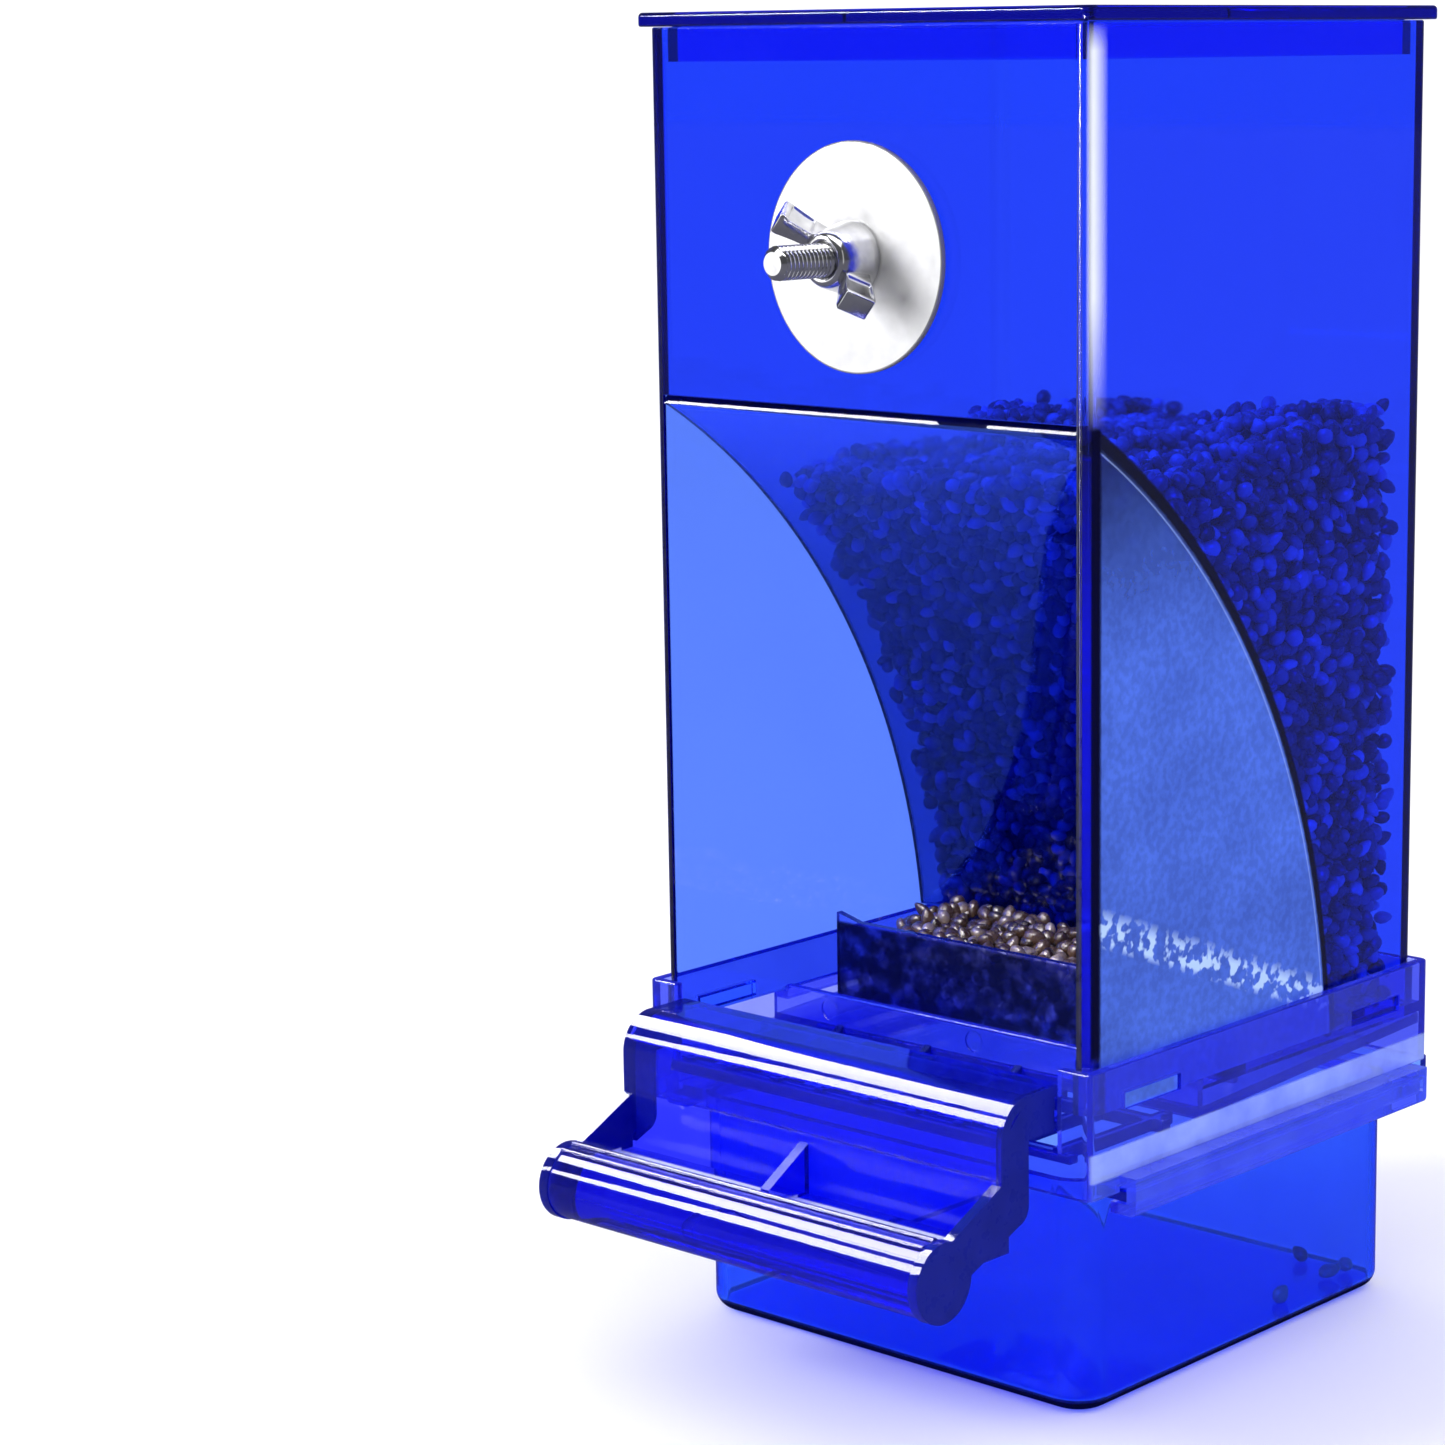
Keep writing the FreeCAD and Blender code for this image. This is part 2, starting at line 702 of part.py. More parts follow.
def make_husk_drawer():
    body = new_body("husk_drawer")
    outline = new_sketch(body, "XY_Plane")
    draw_rounded_rectangle(
        outline,
        ("-size.drawer_half_x", "size.drawer_front"),
        ("size.drawer_half_x", "size.drawer_back"),
        "size.drawer_corner",
    )
    pad(body, outline, "size.drawer_top")
    round_edges(body, "size.drawer_heel", flat_at("0"))

    hollow = new_sketch(body, "XY_Plane", "size.drawer_top")
    wall = "size.drawer_wall"
    draw_rounded_rectangle(
        hollow,
        (f"-size.drawer_half_x + {wall}", f"size.drawer_front + {wall}"),
        (f"size.drawer_half_x - {wall}", f"size.drawer_back - {wall}"),
        f"(size.drawer_corner - {wall})",
    )
    pocket(body, hollow, "size.drawer_top - size.drawer_floor")

    for side in (1, -1):
        low_x, high_x = mirrored(side, "size.drawer_half_x - size.overlap", "size.flange_reach")
        body_box(
            body,
            (low_x, "size.flange_front", "size.flange_low"),
            (high_x, "size.flange_back", "size.drawer_top"),
        )
    # the pull is a shelf behind the drawer that ends in an upright lip
    inside_y = "size.drawer_back - size.overlap"
    body_box(
        body,
        ("-size.pull_half", inside_y, "size.flange_low"),
        ("size.pull_half", "size.pull_back", "size.drawer_top"),
    )
    body_box(
        body,
        ("-size.pull_half", "size.pull_back - size.pull_wall", "size.pull_low"),
        ("size.pull_half", "size.pull_back", "size.pull_high"),
    )
    round_edges(body, "size.edge_round", flat_at("size.pull_high"))
    return body


# ---------------------------------------------------------------- clamp

def lay_on_front(body, distance):
    """Turns a piece that was drawn along +Z to point along -Y, at the bolt's height."""
    turn_placement(body, (1, 0, 0), 90)
    body.setExpression("Placement.Base.y", distance)
    body.setExpression("Placement.Base.z", "size.bolt_place")


def revolve_about_z(body, corners):
    """Turns an outline of (radius, height) corners about the body's Z axis."""
    sketch = new_sketch(body, "XZ_Plane")
    draw_outline(sketch, corners)
    feature = body.newObject("PartDesign::Revolution", f"{body.Name}_revolution")
    feature.Profile = sketch
    feature.ReferenceAxis = (sketch, ["V_Axis"])
    feature.Angle = 360
    return feature


def make_ring(name, inner, outer, thick, distance):
    body = new_body(name)
    revolve_about_z(body, [(inner, "0"), (outer, "0"), (outer, thick), (inner, thick)])
    lay_on_front(body, distance)
    return body


def make_clamp_bolt():
    """Hexagon head inside the hopper, shank through the front wall. Drawn from the head's back face."""
    body = new_body("clamp_bolt")
    apothem = "(size.head_across_flats / 2)"
    corner = f"({apothem} / cos(30deg))"
    head = new_sketch(body, "XY_Plane")
    draw_outline(head, [
        (f"{corner} * cos({turn * 60}deg)", f"{corner} * sin({turn * 60}deg)") for turn in range(6)
    ])
    pad(body, head, "size.head_thick")
    head_back = "(size.hopper_wall - size.hopper_half + size.washer_thick + size.head_thick)"
    long = f"({head_back} - size.bolt_tip)"
    chamfer = "size.bolt_chamfer"
    revolve_about_z(body, [
        ("0", "size.head_thick - size.overlap"),
        ("size.bolt_radius", "size.head_thick - size.overlap"),
        ("size.bolt_radius", f"{long} - {chamfer}"),
        (f"size.bolt_radius - {chamfer}", long),
        ("0", long),
    ])
    lay_on_front(body, head_back)
    return body


def make_wing_nut():
    """Conical hub with two wings that rise outwards and forwards."""
    body = new_body("wing_nut")
    revolve_about_z(body, [
        ("size.nut_bore_radius", "0"),
        ("size.hub_base_radius", "0"),
        ("size.hub_base_radius", "size.hub_base_tall"),
        ("size.hub_top_radius", "size.hub_tall"),
        ("size.nut_bore_radius", "size.hub_tall"),
    ])
    root = "(size.nut_bore_radius + size.wing_root_inset)"
    for side in (1, -1):
        wing = new_sketch(body, "XZ_Plane")
        draw_outline(wing, [
            (f"{side} * {root}", "size.wing_root_low"),
            (f"{side} * size.hub_base_radius", "size.wing_root_low"),
            (f"{side} * size.wing_tip_radius", "size.wing_tip_low"),
            (f"{side} * size.wing_tip_radius", "size.wing_tip_high"),
            (f"{side} * {root}", "size.wing_root_high"),
        ])
        pad(body, wing, "size.wing_thick", both_ways=True)
    lay_on_front(body, "-size.hopper_half - size.disc_gap - size.disc_thick - size.nut_gap")
    # the wings lean, high on the left and low on the right
    lean = FreeCAD.Rotation(FreeCAD.Vector(0, 1, 0), number("size.wing_turn"))
    body.Placement.Rotation = lean.multiply(body.Placement.Rotation)
    return body


def make_clamp():
    washer_back = "size.hopper_wall - size.hopper_half + size.washer_thick"
    disc_back = "-size.hopper_half - size.disc_gap"
    return [
        make_clamp_bolt(),
        make_ring(
            "bolt_washer", "size.washer_hole_radius", "size.washer_radius", "size.washer_thick", washer_back
        ),
        make_ring("clamp_disc", "size.disc_hole_radius", "size.disc_radius", "size.disc_thick", disc_back),
        make_wing_nut(),
    ]


# ---------------------------------------------------------------- build and write

pieces = [
    make_hopper_shell(),
    make_curved_baffle(),
    make_lid(),
    make_base_frame(),
    make_seed_tray(),
    make_husk_grille(),
    make_perch_bracket(),
    make_perch_bar(),
    make_husk_drawer(),
]
pieces += make_clamp()
doc.recompute()

for item in doc.Objects:
    if "Invalid" in item.State or "Error" in item.State:
        raise RuntimeError(f"{item.Name}: {item.State}")

os.makedirs("parts", exist_ok=True)
for piece in pieces:
    shape = piece.Shape
    if shape.isNull() or not shape.isValid() or len(shape.Solids) != 1:
        raise RuntimeError(f"{piece.Label}: shape is not one valid solid")
    shape.exportStep(f"parts/{piece.Label}.step")
    box = shape.BoundBox
    corners = [round(value, 2) for value in (box.XMin, box.XMax, box.YMin, box.YMax, box.ZMin, box.ZMax)]
    print(piece.Label, "volume", round(shape.Volume, 1), "box", corners)
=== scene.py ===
import math

import bmesh
import bpy
import numpy as np
from mathutils import Euler, Matrix, Vector


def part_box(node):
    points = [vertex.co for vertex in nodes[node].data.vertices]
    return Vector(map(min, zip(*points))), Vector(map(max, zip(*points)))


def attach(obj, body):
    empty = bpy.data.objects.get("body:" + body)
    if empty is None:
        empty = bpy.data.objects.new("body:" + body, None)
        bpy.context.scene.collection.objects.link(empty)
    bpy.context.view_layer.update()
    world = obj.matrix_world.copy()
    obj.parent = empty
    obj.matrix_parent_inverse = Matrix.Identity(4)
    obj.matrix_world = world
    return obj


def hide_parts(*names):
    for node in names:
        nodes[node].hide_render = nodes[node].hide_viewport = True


MM = 0.001

# Places, heights and radii in millimetres, and the tray's slope. The baffle's centre is its arc's (y, z).
BAFFLE_CENTRE = (-120.5, 50.0)
BAFFLE_OUTER, BAFFLE_INNER = 144.5, 142.0
WALL_INSIDE, WALL_OUTSIDE = 47.85, 50.25
OPENING_FOOT, OPENING_TOP = 66.5, 174.5
TRAY_FLOOR, TRAY_SLOPE = 52.6, 0.041
BOLT_HEIGHT = 201.2
DISC_FRONT, DISC_RADIUS = -51.6, 20.0

# The share of what lies under them that the dark films of edges hide.
NEARLY_ALL = 0.93

# Every moulding has edges rounded by this many millimetres, where they turn by more than SHARP degrees.
EDGE = 0.3
SHARP = 35

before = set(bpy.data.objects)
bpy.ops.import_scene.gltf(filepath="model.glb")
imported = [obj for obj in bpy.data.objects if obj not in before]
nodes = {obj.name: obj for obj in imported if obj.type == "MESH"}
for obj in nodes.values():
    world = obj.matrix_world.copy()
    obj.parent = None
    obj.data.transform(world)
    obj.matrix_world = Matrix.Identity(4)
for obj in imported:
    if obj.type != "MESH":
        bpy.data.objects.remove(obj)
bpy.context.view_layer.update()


# ---------------------------------------------------------------- materials

def new_tree(name):
    """An empty node material and its tree."""
    material = bpy.data.materials.new(name)
    material.use_nodes = True
    material.node_tree.nodes.clear()
    return material, material.node_tree


def add(tree, kind, **inputs):
    """A node of that kind, with the named sockets set."""
    node = tree.nodes.new(kind)
    for name, value in inputs.items():
        node.inputs[name.replace("_", " ")].default_value = value
    return node


def noise(tree, scale, detail=3.0, roughness=0.5):
    """Noise in the object's own metres."""
    place = tree.nodes.new("ShaderNodeTexCoord")
    texture = add(tree, "ShaderNodeTexNoise", Scale=scale, Detail=detail, Roughness=roughness)
    tree.links.new(place.outputs["Object"], texture.inputs["Vector"])
    return texture.outputs["Fac"]


def spread(tree, source, low, high, start=0.35, end=0.65):
    """The source, from start to end, mapped to low to high."""
    node = add(tree, "ShaderNodeMapRange", From_Min=start, From_Max=end, To_Min=low, To_Max=high)
    tree.links.new(source, node.inputs["Value"])
    return node.outputs["Result"]


def bump(tree, source, depth):
    """A bump of that many metres."""
    node = add(tree, "ShaderNodeBump", Strength=1.0, Distance=depth)
    tree.links.new(source, node.inputs["Height"])
    return node.outputs["Normal"]


def ramp(tree, source, stops):
    """A colour ramp over (place, colour) stops."""
    node = tree.nodes.new("ShaderNodeValToRGB")
    elements = node.color_ramp.elements
    while len(elements) < len(stops):
        elements.new(0.5)
    for element, (place, colour) in zip(elements, stops):
        element.position = place
        element.color = (*colour, 1.0)
    tree.links.new(source, node.inputs["Fac"])
    return node.outputs["Color"]


def finish_tree(tree, shader):
    """The tree's output, showing that shader."""
    out = tree.nodes.new("ShaderNodeOutputMaterial")
    tree.links.new(shader.outputs[0], out.inputs["Surface"])
    return out


def axes(tree):
    """The object's own x, y and z in millimetres, with the distance from the middle plane as across."""
    place = tree.nodes.new("ShaderNodeTexCoord")
    scaled = tree.nodes.new("ShaderNodeVectorMath")
    scaled.operation = "SCALE"
    scaled.inputs["Scale"].default_value = 1 / MM
    tree.links.new(place.outputs["Object"], scaled.inputs[0])
    parts = tree.nodes.new("ShaderNodeSeparateXYZ")
    tree.links.new(scaled.outputs[0], parts.inputs[0])
    across = tree.nodes.new("ShaderNodeMath")
    across.operation = "ABSOLUTE"
    tree.links.new(parts.outputs["X"], across.inputs[0])
    return {"x": parts.outputs["X"], "y": parts.outputs["Y"], "z": parts.outputs["Z"],
            "across": across.outputs[0]}


def times(tree, one, two):
    """One value times another."""
    node = tree.nodes.new("ShaderNodeMath")
    node.operation = "MULTIPLY"
    tree.links.new(one, node.inputs[0])
    tree.links.new(two, node.inputs[1])
    return node.outputs[0]


def within(tree, source, ends):
    """Rises from 0 to 1 over the first two ends, and falls again over the last two if there are four."""
    mask = spread(tree, source, 0.0, 1.0, ends[0], ends[1])
    if len(ends) == 4:
        mask = times(tree, mask, spread(tree, source, 1.0, 0.0, ends[2], ends[3]))
    return mask


def distance(tree, place, centre):
    """The distance from a place to a centre."""
    node = tree.nodes.new("ShaderNodeVectorMath")
    node.operation = "DISTANCE"
    node.inputs[1].default_value = centre
    tree.links.new(place, node.inputs[0])
    return node.outputs["Value"]


def distance_in_plane(tree, one, two, centre):
    """The distance from a centre, along two of the axes."""
    flat = tree.nodes.new("ShaderNodeCombineXYZ")
    tree.links.new(one, flat.inputs["X"])
    tree.links.new(two, flat.inputs["Y"])
    return distance(tree, flat.outputs[0], (*centre, 0.0))


def film(tree, under, masks, share, colour):
    """A film of that colour over the shader, where all the masks are."""
    cover = masks[0]
    for mask in masks[1:]:
        cover = times(tree, cover, mask)
    full = spread(tree, cover, 0.0, share, 0.0, 1.0)
    # The film's own colour, which paints shade, highlights and dust alike.
    film_shader = add(tree, "ShaderNodeBsdfDiffuse", Color=(*colour, 1.0))
    mix = tree.nodes.new("ShaderNodeMixShader")
    tree.links.new(full, mix.inputs[0])
    tree.links.new(under.outputs[0], mix.inputs[1])
    tree.links.new(film_shader.outputs[0], mix.inputs[2])
    return mix


def dust_and_sheen_films(tree, under, at, radius, outer, inner):
    """Painted shade and sheen on the right wall in front of the baffle: a dark film on the inner face, a
    pale speckled haze on the outer face that is partly dust and partly painted sheen, a band of painted
    pale specks for lit seed, a painted dark line along the baffle's rim and a painted glint inside it.
    """
    in_front = spread(tree, radius, 1.0, 0.0, BAFFLE_INNER - 0.6, BAFFLE_INNER - 0.1)
    behind_jamb = within(tree, at["y"], (-47.2, -46.2))
    speckle = spread(tree, noise(tree, 620.0, 4.0), 0.8, 1.0, 0.4, 0.62)
    cloud = spread(tree, noise(tree, 55.0, 4.0), 0.75, 1.0)
    height = spread(tree, at["z"], 1.0, 0.15, 132.0, 168.0)
    # Painted shade: a dark film on the inner face hides the seed behind it.
    under = film(tree, under, [in_front, behind_jamb, inner], 0.9, (0.004, 0.006, 0.03))
    # A pale speckled haze on the outer face, partly dust and partly painted sheen.
    under = film(tree, under, [in_front, behind_jamb, outer, speckle, cloud, height], 0.92,
                 (0.085, 0.18, 0.82))
    # Painted light: a band of pale specks that stands for lit seed seen through the wall.
    lit_seed_specks = spread(tree, noise(tree, 420.0, 2.0), 0.0, 1.0, 0.5, 0.58)
    level = tree.nodes.new("ShaderNodeMath")
    level.operation = "MULTIPLY_ADD"
    level.inputs[1].default_value = 0.38
    tree.links.new(at["y"], level.inputs[0])
    tree.links.new(at["z"], level.inputs[2])
    band = within(tree, level.outputs[0], (68.0, 69.5, 72.5, 75.5))
    under = film(tree, under, [in_front, behind_jamb, outer, lit_seed_specks, band], 0.85, (0.5, 0.68, 1.0))
    # Painted shade: a dark line on the inner face along the baffle's rim.
    rim = within(tree, radius, (BAFFLE_INNER - 0.5, BAFFLE_INNER - 0.2, BAFFLE_OUTER, BAFFLE_OUTER + 0.4))
    under = film(tree, under, [rim, behind_jamb, inner], 0.97, (0.001, 0.001, 0.008))
    # A painted glint: a pale line on the outer face just inside the baffle's rim.
    glint = within(tree, radius, [BAFFLE_INNER - gap for gap in (1.2, 1.0, 0.9, 0.7)])
    return film(tree, under, [glint, behind_jamb, outer], 0.35, (0.4, 0.55, 1.0))


def hopper_films(tree, under):
    """The hopper's right wall with its painted shade and sheen, the wall's edges beside the opening
    painted dark for shade, and a painted highlight down both front corners.
    """
    at = axes(tree)
    radius = distance_in_plane(tree, at["y"], at["z"], BAFFLE_CENTRE)
    inner = within(tree, at["x"], [WALL_INSIDE + gap for gap in (-0.55, -0.25, 0.35, 0.75)])
    outer = within(tree, at["x"], (WALL_OUTSIDE - 0.35, WALL_OUTSIDE - 0.25))
    under = dust_and_sheen_films(tree, under, at, radius, outer, inner)
    # Painted shade: dark films on the jambs and on the wall's front ends beside the opening.
    ends = [end + gap for end in (OPENING_FOOT, OPENING_TOP) for gap in (-0.5, 0.5)]
    beside = within(tree, at["z"], ends)
    jamb = spread(tree, at["y"], 1.0, 0.0, -47.2, -46.4)
    under = film(tree, under, [jamb, outer, beside], NEARLY_ALL, (0.003, 0.003, 0.02))
    post = within(tree, at["across"], (WALL_INSIDE - 0.45, WALL_INSIDE - 0.05))
    front = spread(tree, at["y"], 1.0, 0.0, 0.05 - WALL_OUTSIDE, 0.15 - WALL_OUTSIDE)
    under = film(tree, under, [post, front, beside], NEARLY_ALL, (0.003, 0.003, 0.03))
    # Painted highlight: a pale band down both front corners.
    glow_edge = within(tree, at["across"], (WALL_OUTSIDE - 0.95, WALL_OUTSIDE - 0.15))
    glow_side = spread(tree, at["y"], 1.0, 0.0, -48.9, -45.0)
    glow_height = within(tree, at["z"], (174.0, 196.0, 236.0, 240.5))
    return film(tree, under, [glow_edge, glow_side, glow_height], 0.98, (0.85, 0.89, 1.0))


def frame_films(tree, under):
    """The frame's side ledges painted pale blue and its rails a deeper blue, both mottled by noise."""
    at = axes(tree)
    side = within(tree, at["across"], (51.9, 52.4))
    film_mottle = spread(tree, noise(tree, 90.0, 5.0), 0.6, 1.0)
    ledge = within(tree, at["z"], (45.3, 45.8, 50.4, 50.9))
    rail = spread(tree, at["z"], 1.0, 0.0, 45.3, 45.8)
    under = film(tree, under, [side, ledge, film_mottle], 0.66, (0.4, 0.52, 1.0))
    return film(tree, under, [side, rail, film_mottle], 0.3, (0.12, 0.22, 1.0))


def bracket_highlight_films(tree, under):
    """Painted highlight: a pale line along the perch bracket's step, beside the bar."""
    at = axes(tree)
    top = within(tree, at["z"], (36.9, 37.2, 37.8, 38.1))
    line = within(tree, at["y"], (-74.0, -73.6, -70.2, -69.8))
    return film(tree, under, [top, line], 0.9, (0.8, 0.85, 1.0))


def tray_shade_films(tree, under):
    """The trough's wall, painted dark in patches for the shade of the seed behind it."""
    at = axes(tree)
    width = spread(tree, at["across"], 1.0, 0.0, 47.3, 47.7)
    wall = within(tree, at["y"], (-7.5, -7.0, -3.0, -2.5))
    height = within(tree, at["z"], (TRAY_FLOOR, TRAY_FLOOR + 0.8))
    below_top = spread(tree, at["z"], 1.0, 0.0, 67.6, 68.2)
    shade_patches = spread(tree, noise(tree, 260.0, 3.0), 0.45, 1.0, 0.38, 0.55)
    return film(tree, under, [width, wall, height, below_top, shade_patches], 0.84, (0.003, 0.004, 0.02))


def baffle_shade_films(tree, under):
    """The baffle's seed side, painted dark for shade but for its top."""
    at = axes(tree)
    radius = distance_in_plane(tree, at["y"], at["z"], BAFFLE_CENTRE)
    back = within(tree, radius, (BAFFLE_OUTER - 0.6, BAFFLE_OUTER - 0.3))
    height = spread(tree, at["z"], 1.0, 0.0, 135.0, 172.0)
    return film(tree, under, [back, height], 0.55, (0.002, 0.003, 0.02))


def drawer_shade_films(tree, under):
    """The drawer's rounded lower edge, painted dark for the shade where the plastic is looked into along
    the floor.
    """
    at = axes(tree)
    heel = within(tree, at["z"], (0.1, 0.3, 1.8, 2.2))
    return film(tree, under, [heel], NEARLY_ALL, (0.002, 0.002, 0.02))


def clear_plastic(name, absorbs, density, haze, haze_share, films=None):
    """Clear tinted styrene: it takes its colour from its thickness, with a little haze and maybe films."""
    material, tree = new_tree(name)
    links = tree.links
    body = add(tree, "ShaderNodeBsdfPrincipled", IOR=1.5)
    body.inputs["Transmission Weight"].default_value = 1.0
    body.inputs["Specular IOR Level"].default_value = 0.4
    body.inputs["Base Color"].default_value = (0.9, 0.94, 1.0, 1.0)
    flow = noise(tree, 45.0, 4.0)
    links.new(spread(tree, flow, 0.01, 0.05), body.inputs["Roughness"])
    links.new(bump(tree, noise(tree, 60.0, 1.0), 0.000004), body.inputs["Normal"])
    milk = add(tree, "ShaderNodeBsdfDiffuse", Color=(*haze, 1.0))
    cloudy = tree.nodes.new("ShaderNodeMixShader")
    links.new(spread(tree, flow, haze_share * 0.7, haze_share * 1.3), cloudy.inputs[0])
    links.new(body.outputs[0], cloudy.inputs[1])
    links.new(milk.outputs[0], cloudy.inputs[2])
    if films:
        cloudy = films(tree, cloudy)
    passed = tree.nodes.new("ShaderNodeBsdfTransparent")
    path = tree.nodes.new("ShaderNodeLightPath")
    either = tree.nodes.new("ShaderNodeMath")
    either.operation = "MAXIMUM"
    links.new(path.outputs["Is Shadow Ray"], either.inputs[0])
    links.new(path.outputs["Is Diffuse Ray"], either.inputs[1])
    mix = tree.nodes.new("ShaderNodeMixShader")
    links.new(either.outputs[0], mix.inputs[0])
    links.new(cloudy.outputs[0], mix.inputs[1])
    links.new(passed.outputs[0], mix.inputs[2])
    out = finish_tree(tree, mix)
    depth = add(tree, "ShaderNodeVolumeAbsorption", Density=density)
    depth.inputs["Color"].default_value = (*absorbs, 1.0)
    links.new(depth.outputs[0], out.inputs["Volume"])
    return material


def dark_edge(name, deep, lit, gloss=0.4):
    """Cut or bonded faces, painted dark for the shade seen where the plastic is looked into along its
    sheet, so that they seem solid.
    """
    material, tree = new_tree(name)
    links = tree.links
    body = add(tree, "ShaderNodeBsdfPrincipled")
    body.inputs["Specular IOR Level"].default_value = gloss
    links.new(ramp(tree, noise(tree, 70.0, 4.0), [(0.35, deep), (0.7, lit)]), body.inputs["Base Color"])
    links.new(spread(tree, noise(tree, 500.0), 0.25, 0.4), body.inputs["Roughness"])
    finish_tree(tree, body)
    return material


def disc_shade_films(tree, under):
    """Painted shadow of the wing nut on the disc beside it, and a painted dark line of shade round the
    disc's rim.
    """
    place = tree.nodes.new("ShaderNodeTexCoord")
    nut_shadow_spots = ((7.0, 199.6, 8.0, 0.7), (11.5, 194.5, 7.5, 0.65), (3.0, 208.5, 5.0, 0.4))
    for right, up, reach, share in nut_shadow_spots:
        away = distance(tree, place.outputs["Object"], (right * MM, DISC_FRONT * MM, up * MM))
        near = spread(tree, away, 1.0, 0.0, 0.0, reach * MM)
        under = film(tree, under, [near], share, (0.06, 0.06, 0.065))
    at = axes(tree)
    radius = distance_in_plane(tree, at["x"], at["z"], (0.0, BOLT_HEIGHT))
    rim = within(tree, radius, (DISC_RADIUS - 0.4, DISC_RADIUS - 0.2))
    return film(tree, under, [rim], 0.85, (0.06, 0.06, 0.08))


def steel(name, metallic, rough, tones, films=None):
    """Bright zinc-plated steel, mottled between two tones of grey."""
    material, tree = new_tree(name)
    links = tree.links
    body = add(tree, "ShaderNodeBsdfPrincipled", Metallic=metallic)
    shade = noise(tree, 250.0)
    deep, pale = tones
    links.new(ramp(tree, shade, [(0.3, (deep, deep, deep + 0.01)), (0.7, (pale, pale, pale + 0.01))]),
              body.inputs["Base Color"])
    links.new(spread(tree, noise(tree, 400.0), rough * 0.7, rough * 1.4), body.inputs["Roughness"])
    links.new(bump(tree, noise(tree, 900.0), 0.000008), body.inputs["Normal"])
    finish_tree(tree, films(tree, body) if films else body)
    return material


def seed_husk(name, stops):
    """Glossy seed husks, each seed with a tone of its own."""
    material, tree = new_tree(name)
    links = tree.links
    body = add(tree, "ShaderNodeBsdfPrincipled")
    tone = tree.nodes.new("ShaderNodeAttribute")
    tone.attribute_name = "seed_tone"
    links.new(ramp(tree, tone.outputs["Fac"], stops), body.inputs["Base Color"])
    links.new(spread(tree, noise(tree, 1500.0), 0.18, 0.36), body.inputs["Roughness"])
    links.new(bump(tree, noise(tree, 2200.0), 0.0001), body.inputs["Normal"])
    finish_tree(tree, body)
    return material


# A tint is the absorption's colour and its density per metre, then the haze's colour and its share.
hopper_tint = ((0.0, 0.33, 0.985), 790.0, (0.02, 0.05, 0.6), 0.02)
frame_tint = ((0.1, 0.2, 0.98), 520.0, (0.1, 0.14, 0.8), 0.12)
drawer_tint = ((0.0, 0.4, 0.985), 790.0, (0.02, 0.12, 0.9), 0.06)
perch_tint = ((0.0, 0.1, 0.97), 1250.0, (0.03, 0.04, 0.75), 0.07)
bracket_tint = ((0.0, 0.05, 0.975), 1500.0, (0.05, 0.08, 0.85), 0.08)

plastics = {
    "hopper_plastic": clear_plastic("hopper_plastic", *hopper_tint, hopper_films),
    "frame_plastic": clear_plastic("frame_plastic", *frame_tint, frame_films),
    "drawer_plastic": clear_plastic("drawer_plastic", *drawer_tint, drawer_shade_films),
    "perch_plastic": clear_plastic("perch_plastic", *perch_tint),
}
tray_plastic = clear_plastic("tray_plastic", *frame_tint, tray_shade_films)
bracket_plastic = clear_plastic("bracket_plastic", *bracket_tint, bracket_highlight_films)
baffle_plastic = clear_plastic("baffle_plastic", *hopper_tint, baffle_shade_films)
cut_edge = dark_edge("cut_edge", (0.001, 0.001, 0.012), (0.002, 0.003, 0.05))
navy_face = dark_edge("navy_face", (0.005, 0.01, 0.2), (0.009, 0.015, 0.28), 0.08)
blue_edge = dark_edge("blue_edge", (0.02, 0.03, 0.42), (0.04, 0.06, 0.6), 0.08)
bright_steel = steel("bright_steel", 1.0, 0.16, (0.5, 0.68))
disc_steel = steel("disc_steel", 0.3, 0.4, (0.82, 0.93), disc_shade_films)
husk = seed_husk("seed_husk", [(0.0, (0.035, 0.015, 0.007)), (0.55, (0.19, 0.1, 0.05)),
                              (1.0, (0.68, 0.52, 0.33))])
# The seed in the hopper has its own copy of the husk, toned from near black to bluish white to paint the
# light and shade that reach it through the walls.
shaded_husk = seed_husk("shaded_husk", [(0.0, (0.01, 0.01, 0.012)), (0.45, (0.12, 0.12, 0.18)),
                                        (1.0, (0.8, 0.8, 0.95))])


# ---------------------------------------------------------------- making pieces

def place_piece(mesh, material, body, node=None):
    """A piece that rides on its body, and stands for a CAD node if it is given one."""
    piece = bpy.data.objects.new(mesh.name, mesh)
    bpy.context.scene.collection.objects.link(piece)
    mesh.materials.clear()
    mesh.materials.append(material)
    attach(piece, body)
    if node:
        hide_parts(node)
    return piece


def moulded(node, body, slot):
    """A CAD moulding with its sharp edges a little rounded, as a mould leaves them."""
    mesh = nodes[node].data.copy()
    mesh.name = node + "_moulding"
    bm = bmesh.new()
    bm.from_mesh(mesh)
    bmesh.ops.remove_doubles(bm, verts=bm.verts, dist=0.001 * MM)
    bmesh.ops.dissolve_limit(bm, angle_limit=math.radians(0.5), verts=bm.verts, edges=bm.edges)
    bm.normal_update()
    bmesh.ops.triangulate(bm, faces=bm.faces)
    bm.to_mesh(mesh)
    bm.free()
    mesh.shade_smooth()
    piece = place_piece(mesh, plastics[slot], body, node)
    rounding = piece.modifiers.new("rounding", "BEVEL")
    rounding.width = EDGE * MM
    rounding.segments = 2
    rounding.limit_method = "ANGLE"
    rounding.angle_limit = math.radians(SHARP)
    rounding.use_clamp_overlap = True
    rounding.miter_outer = "MITER_ARC"
    weighting = piece.modifiers.new("weighting", "WEIGHTED_NORMAL")
    weighting.keep_sharp = True
    weighting.weight = 100
    return piece


def repaint(piece, material, wanted):
    """Gives another material to the faces of a piece whose centre and normal are wanted."""
    mesh = piece.data
    mesh.materials.append(material)
    for face in mesh.polygons:
        if wanted(face.center / MM, face.normal):
            face.material_index = len(mesh.materials) - 1


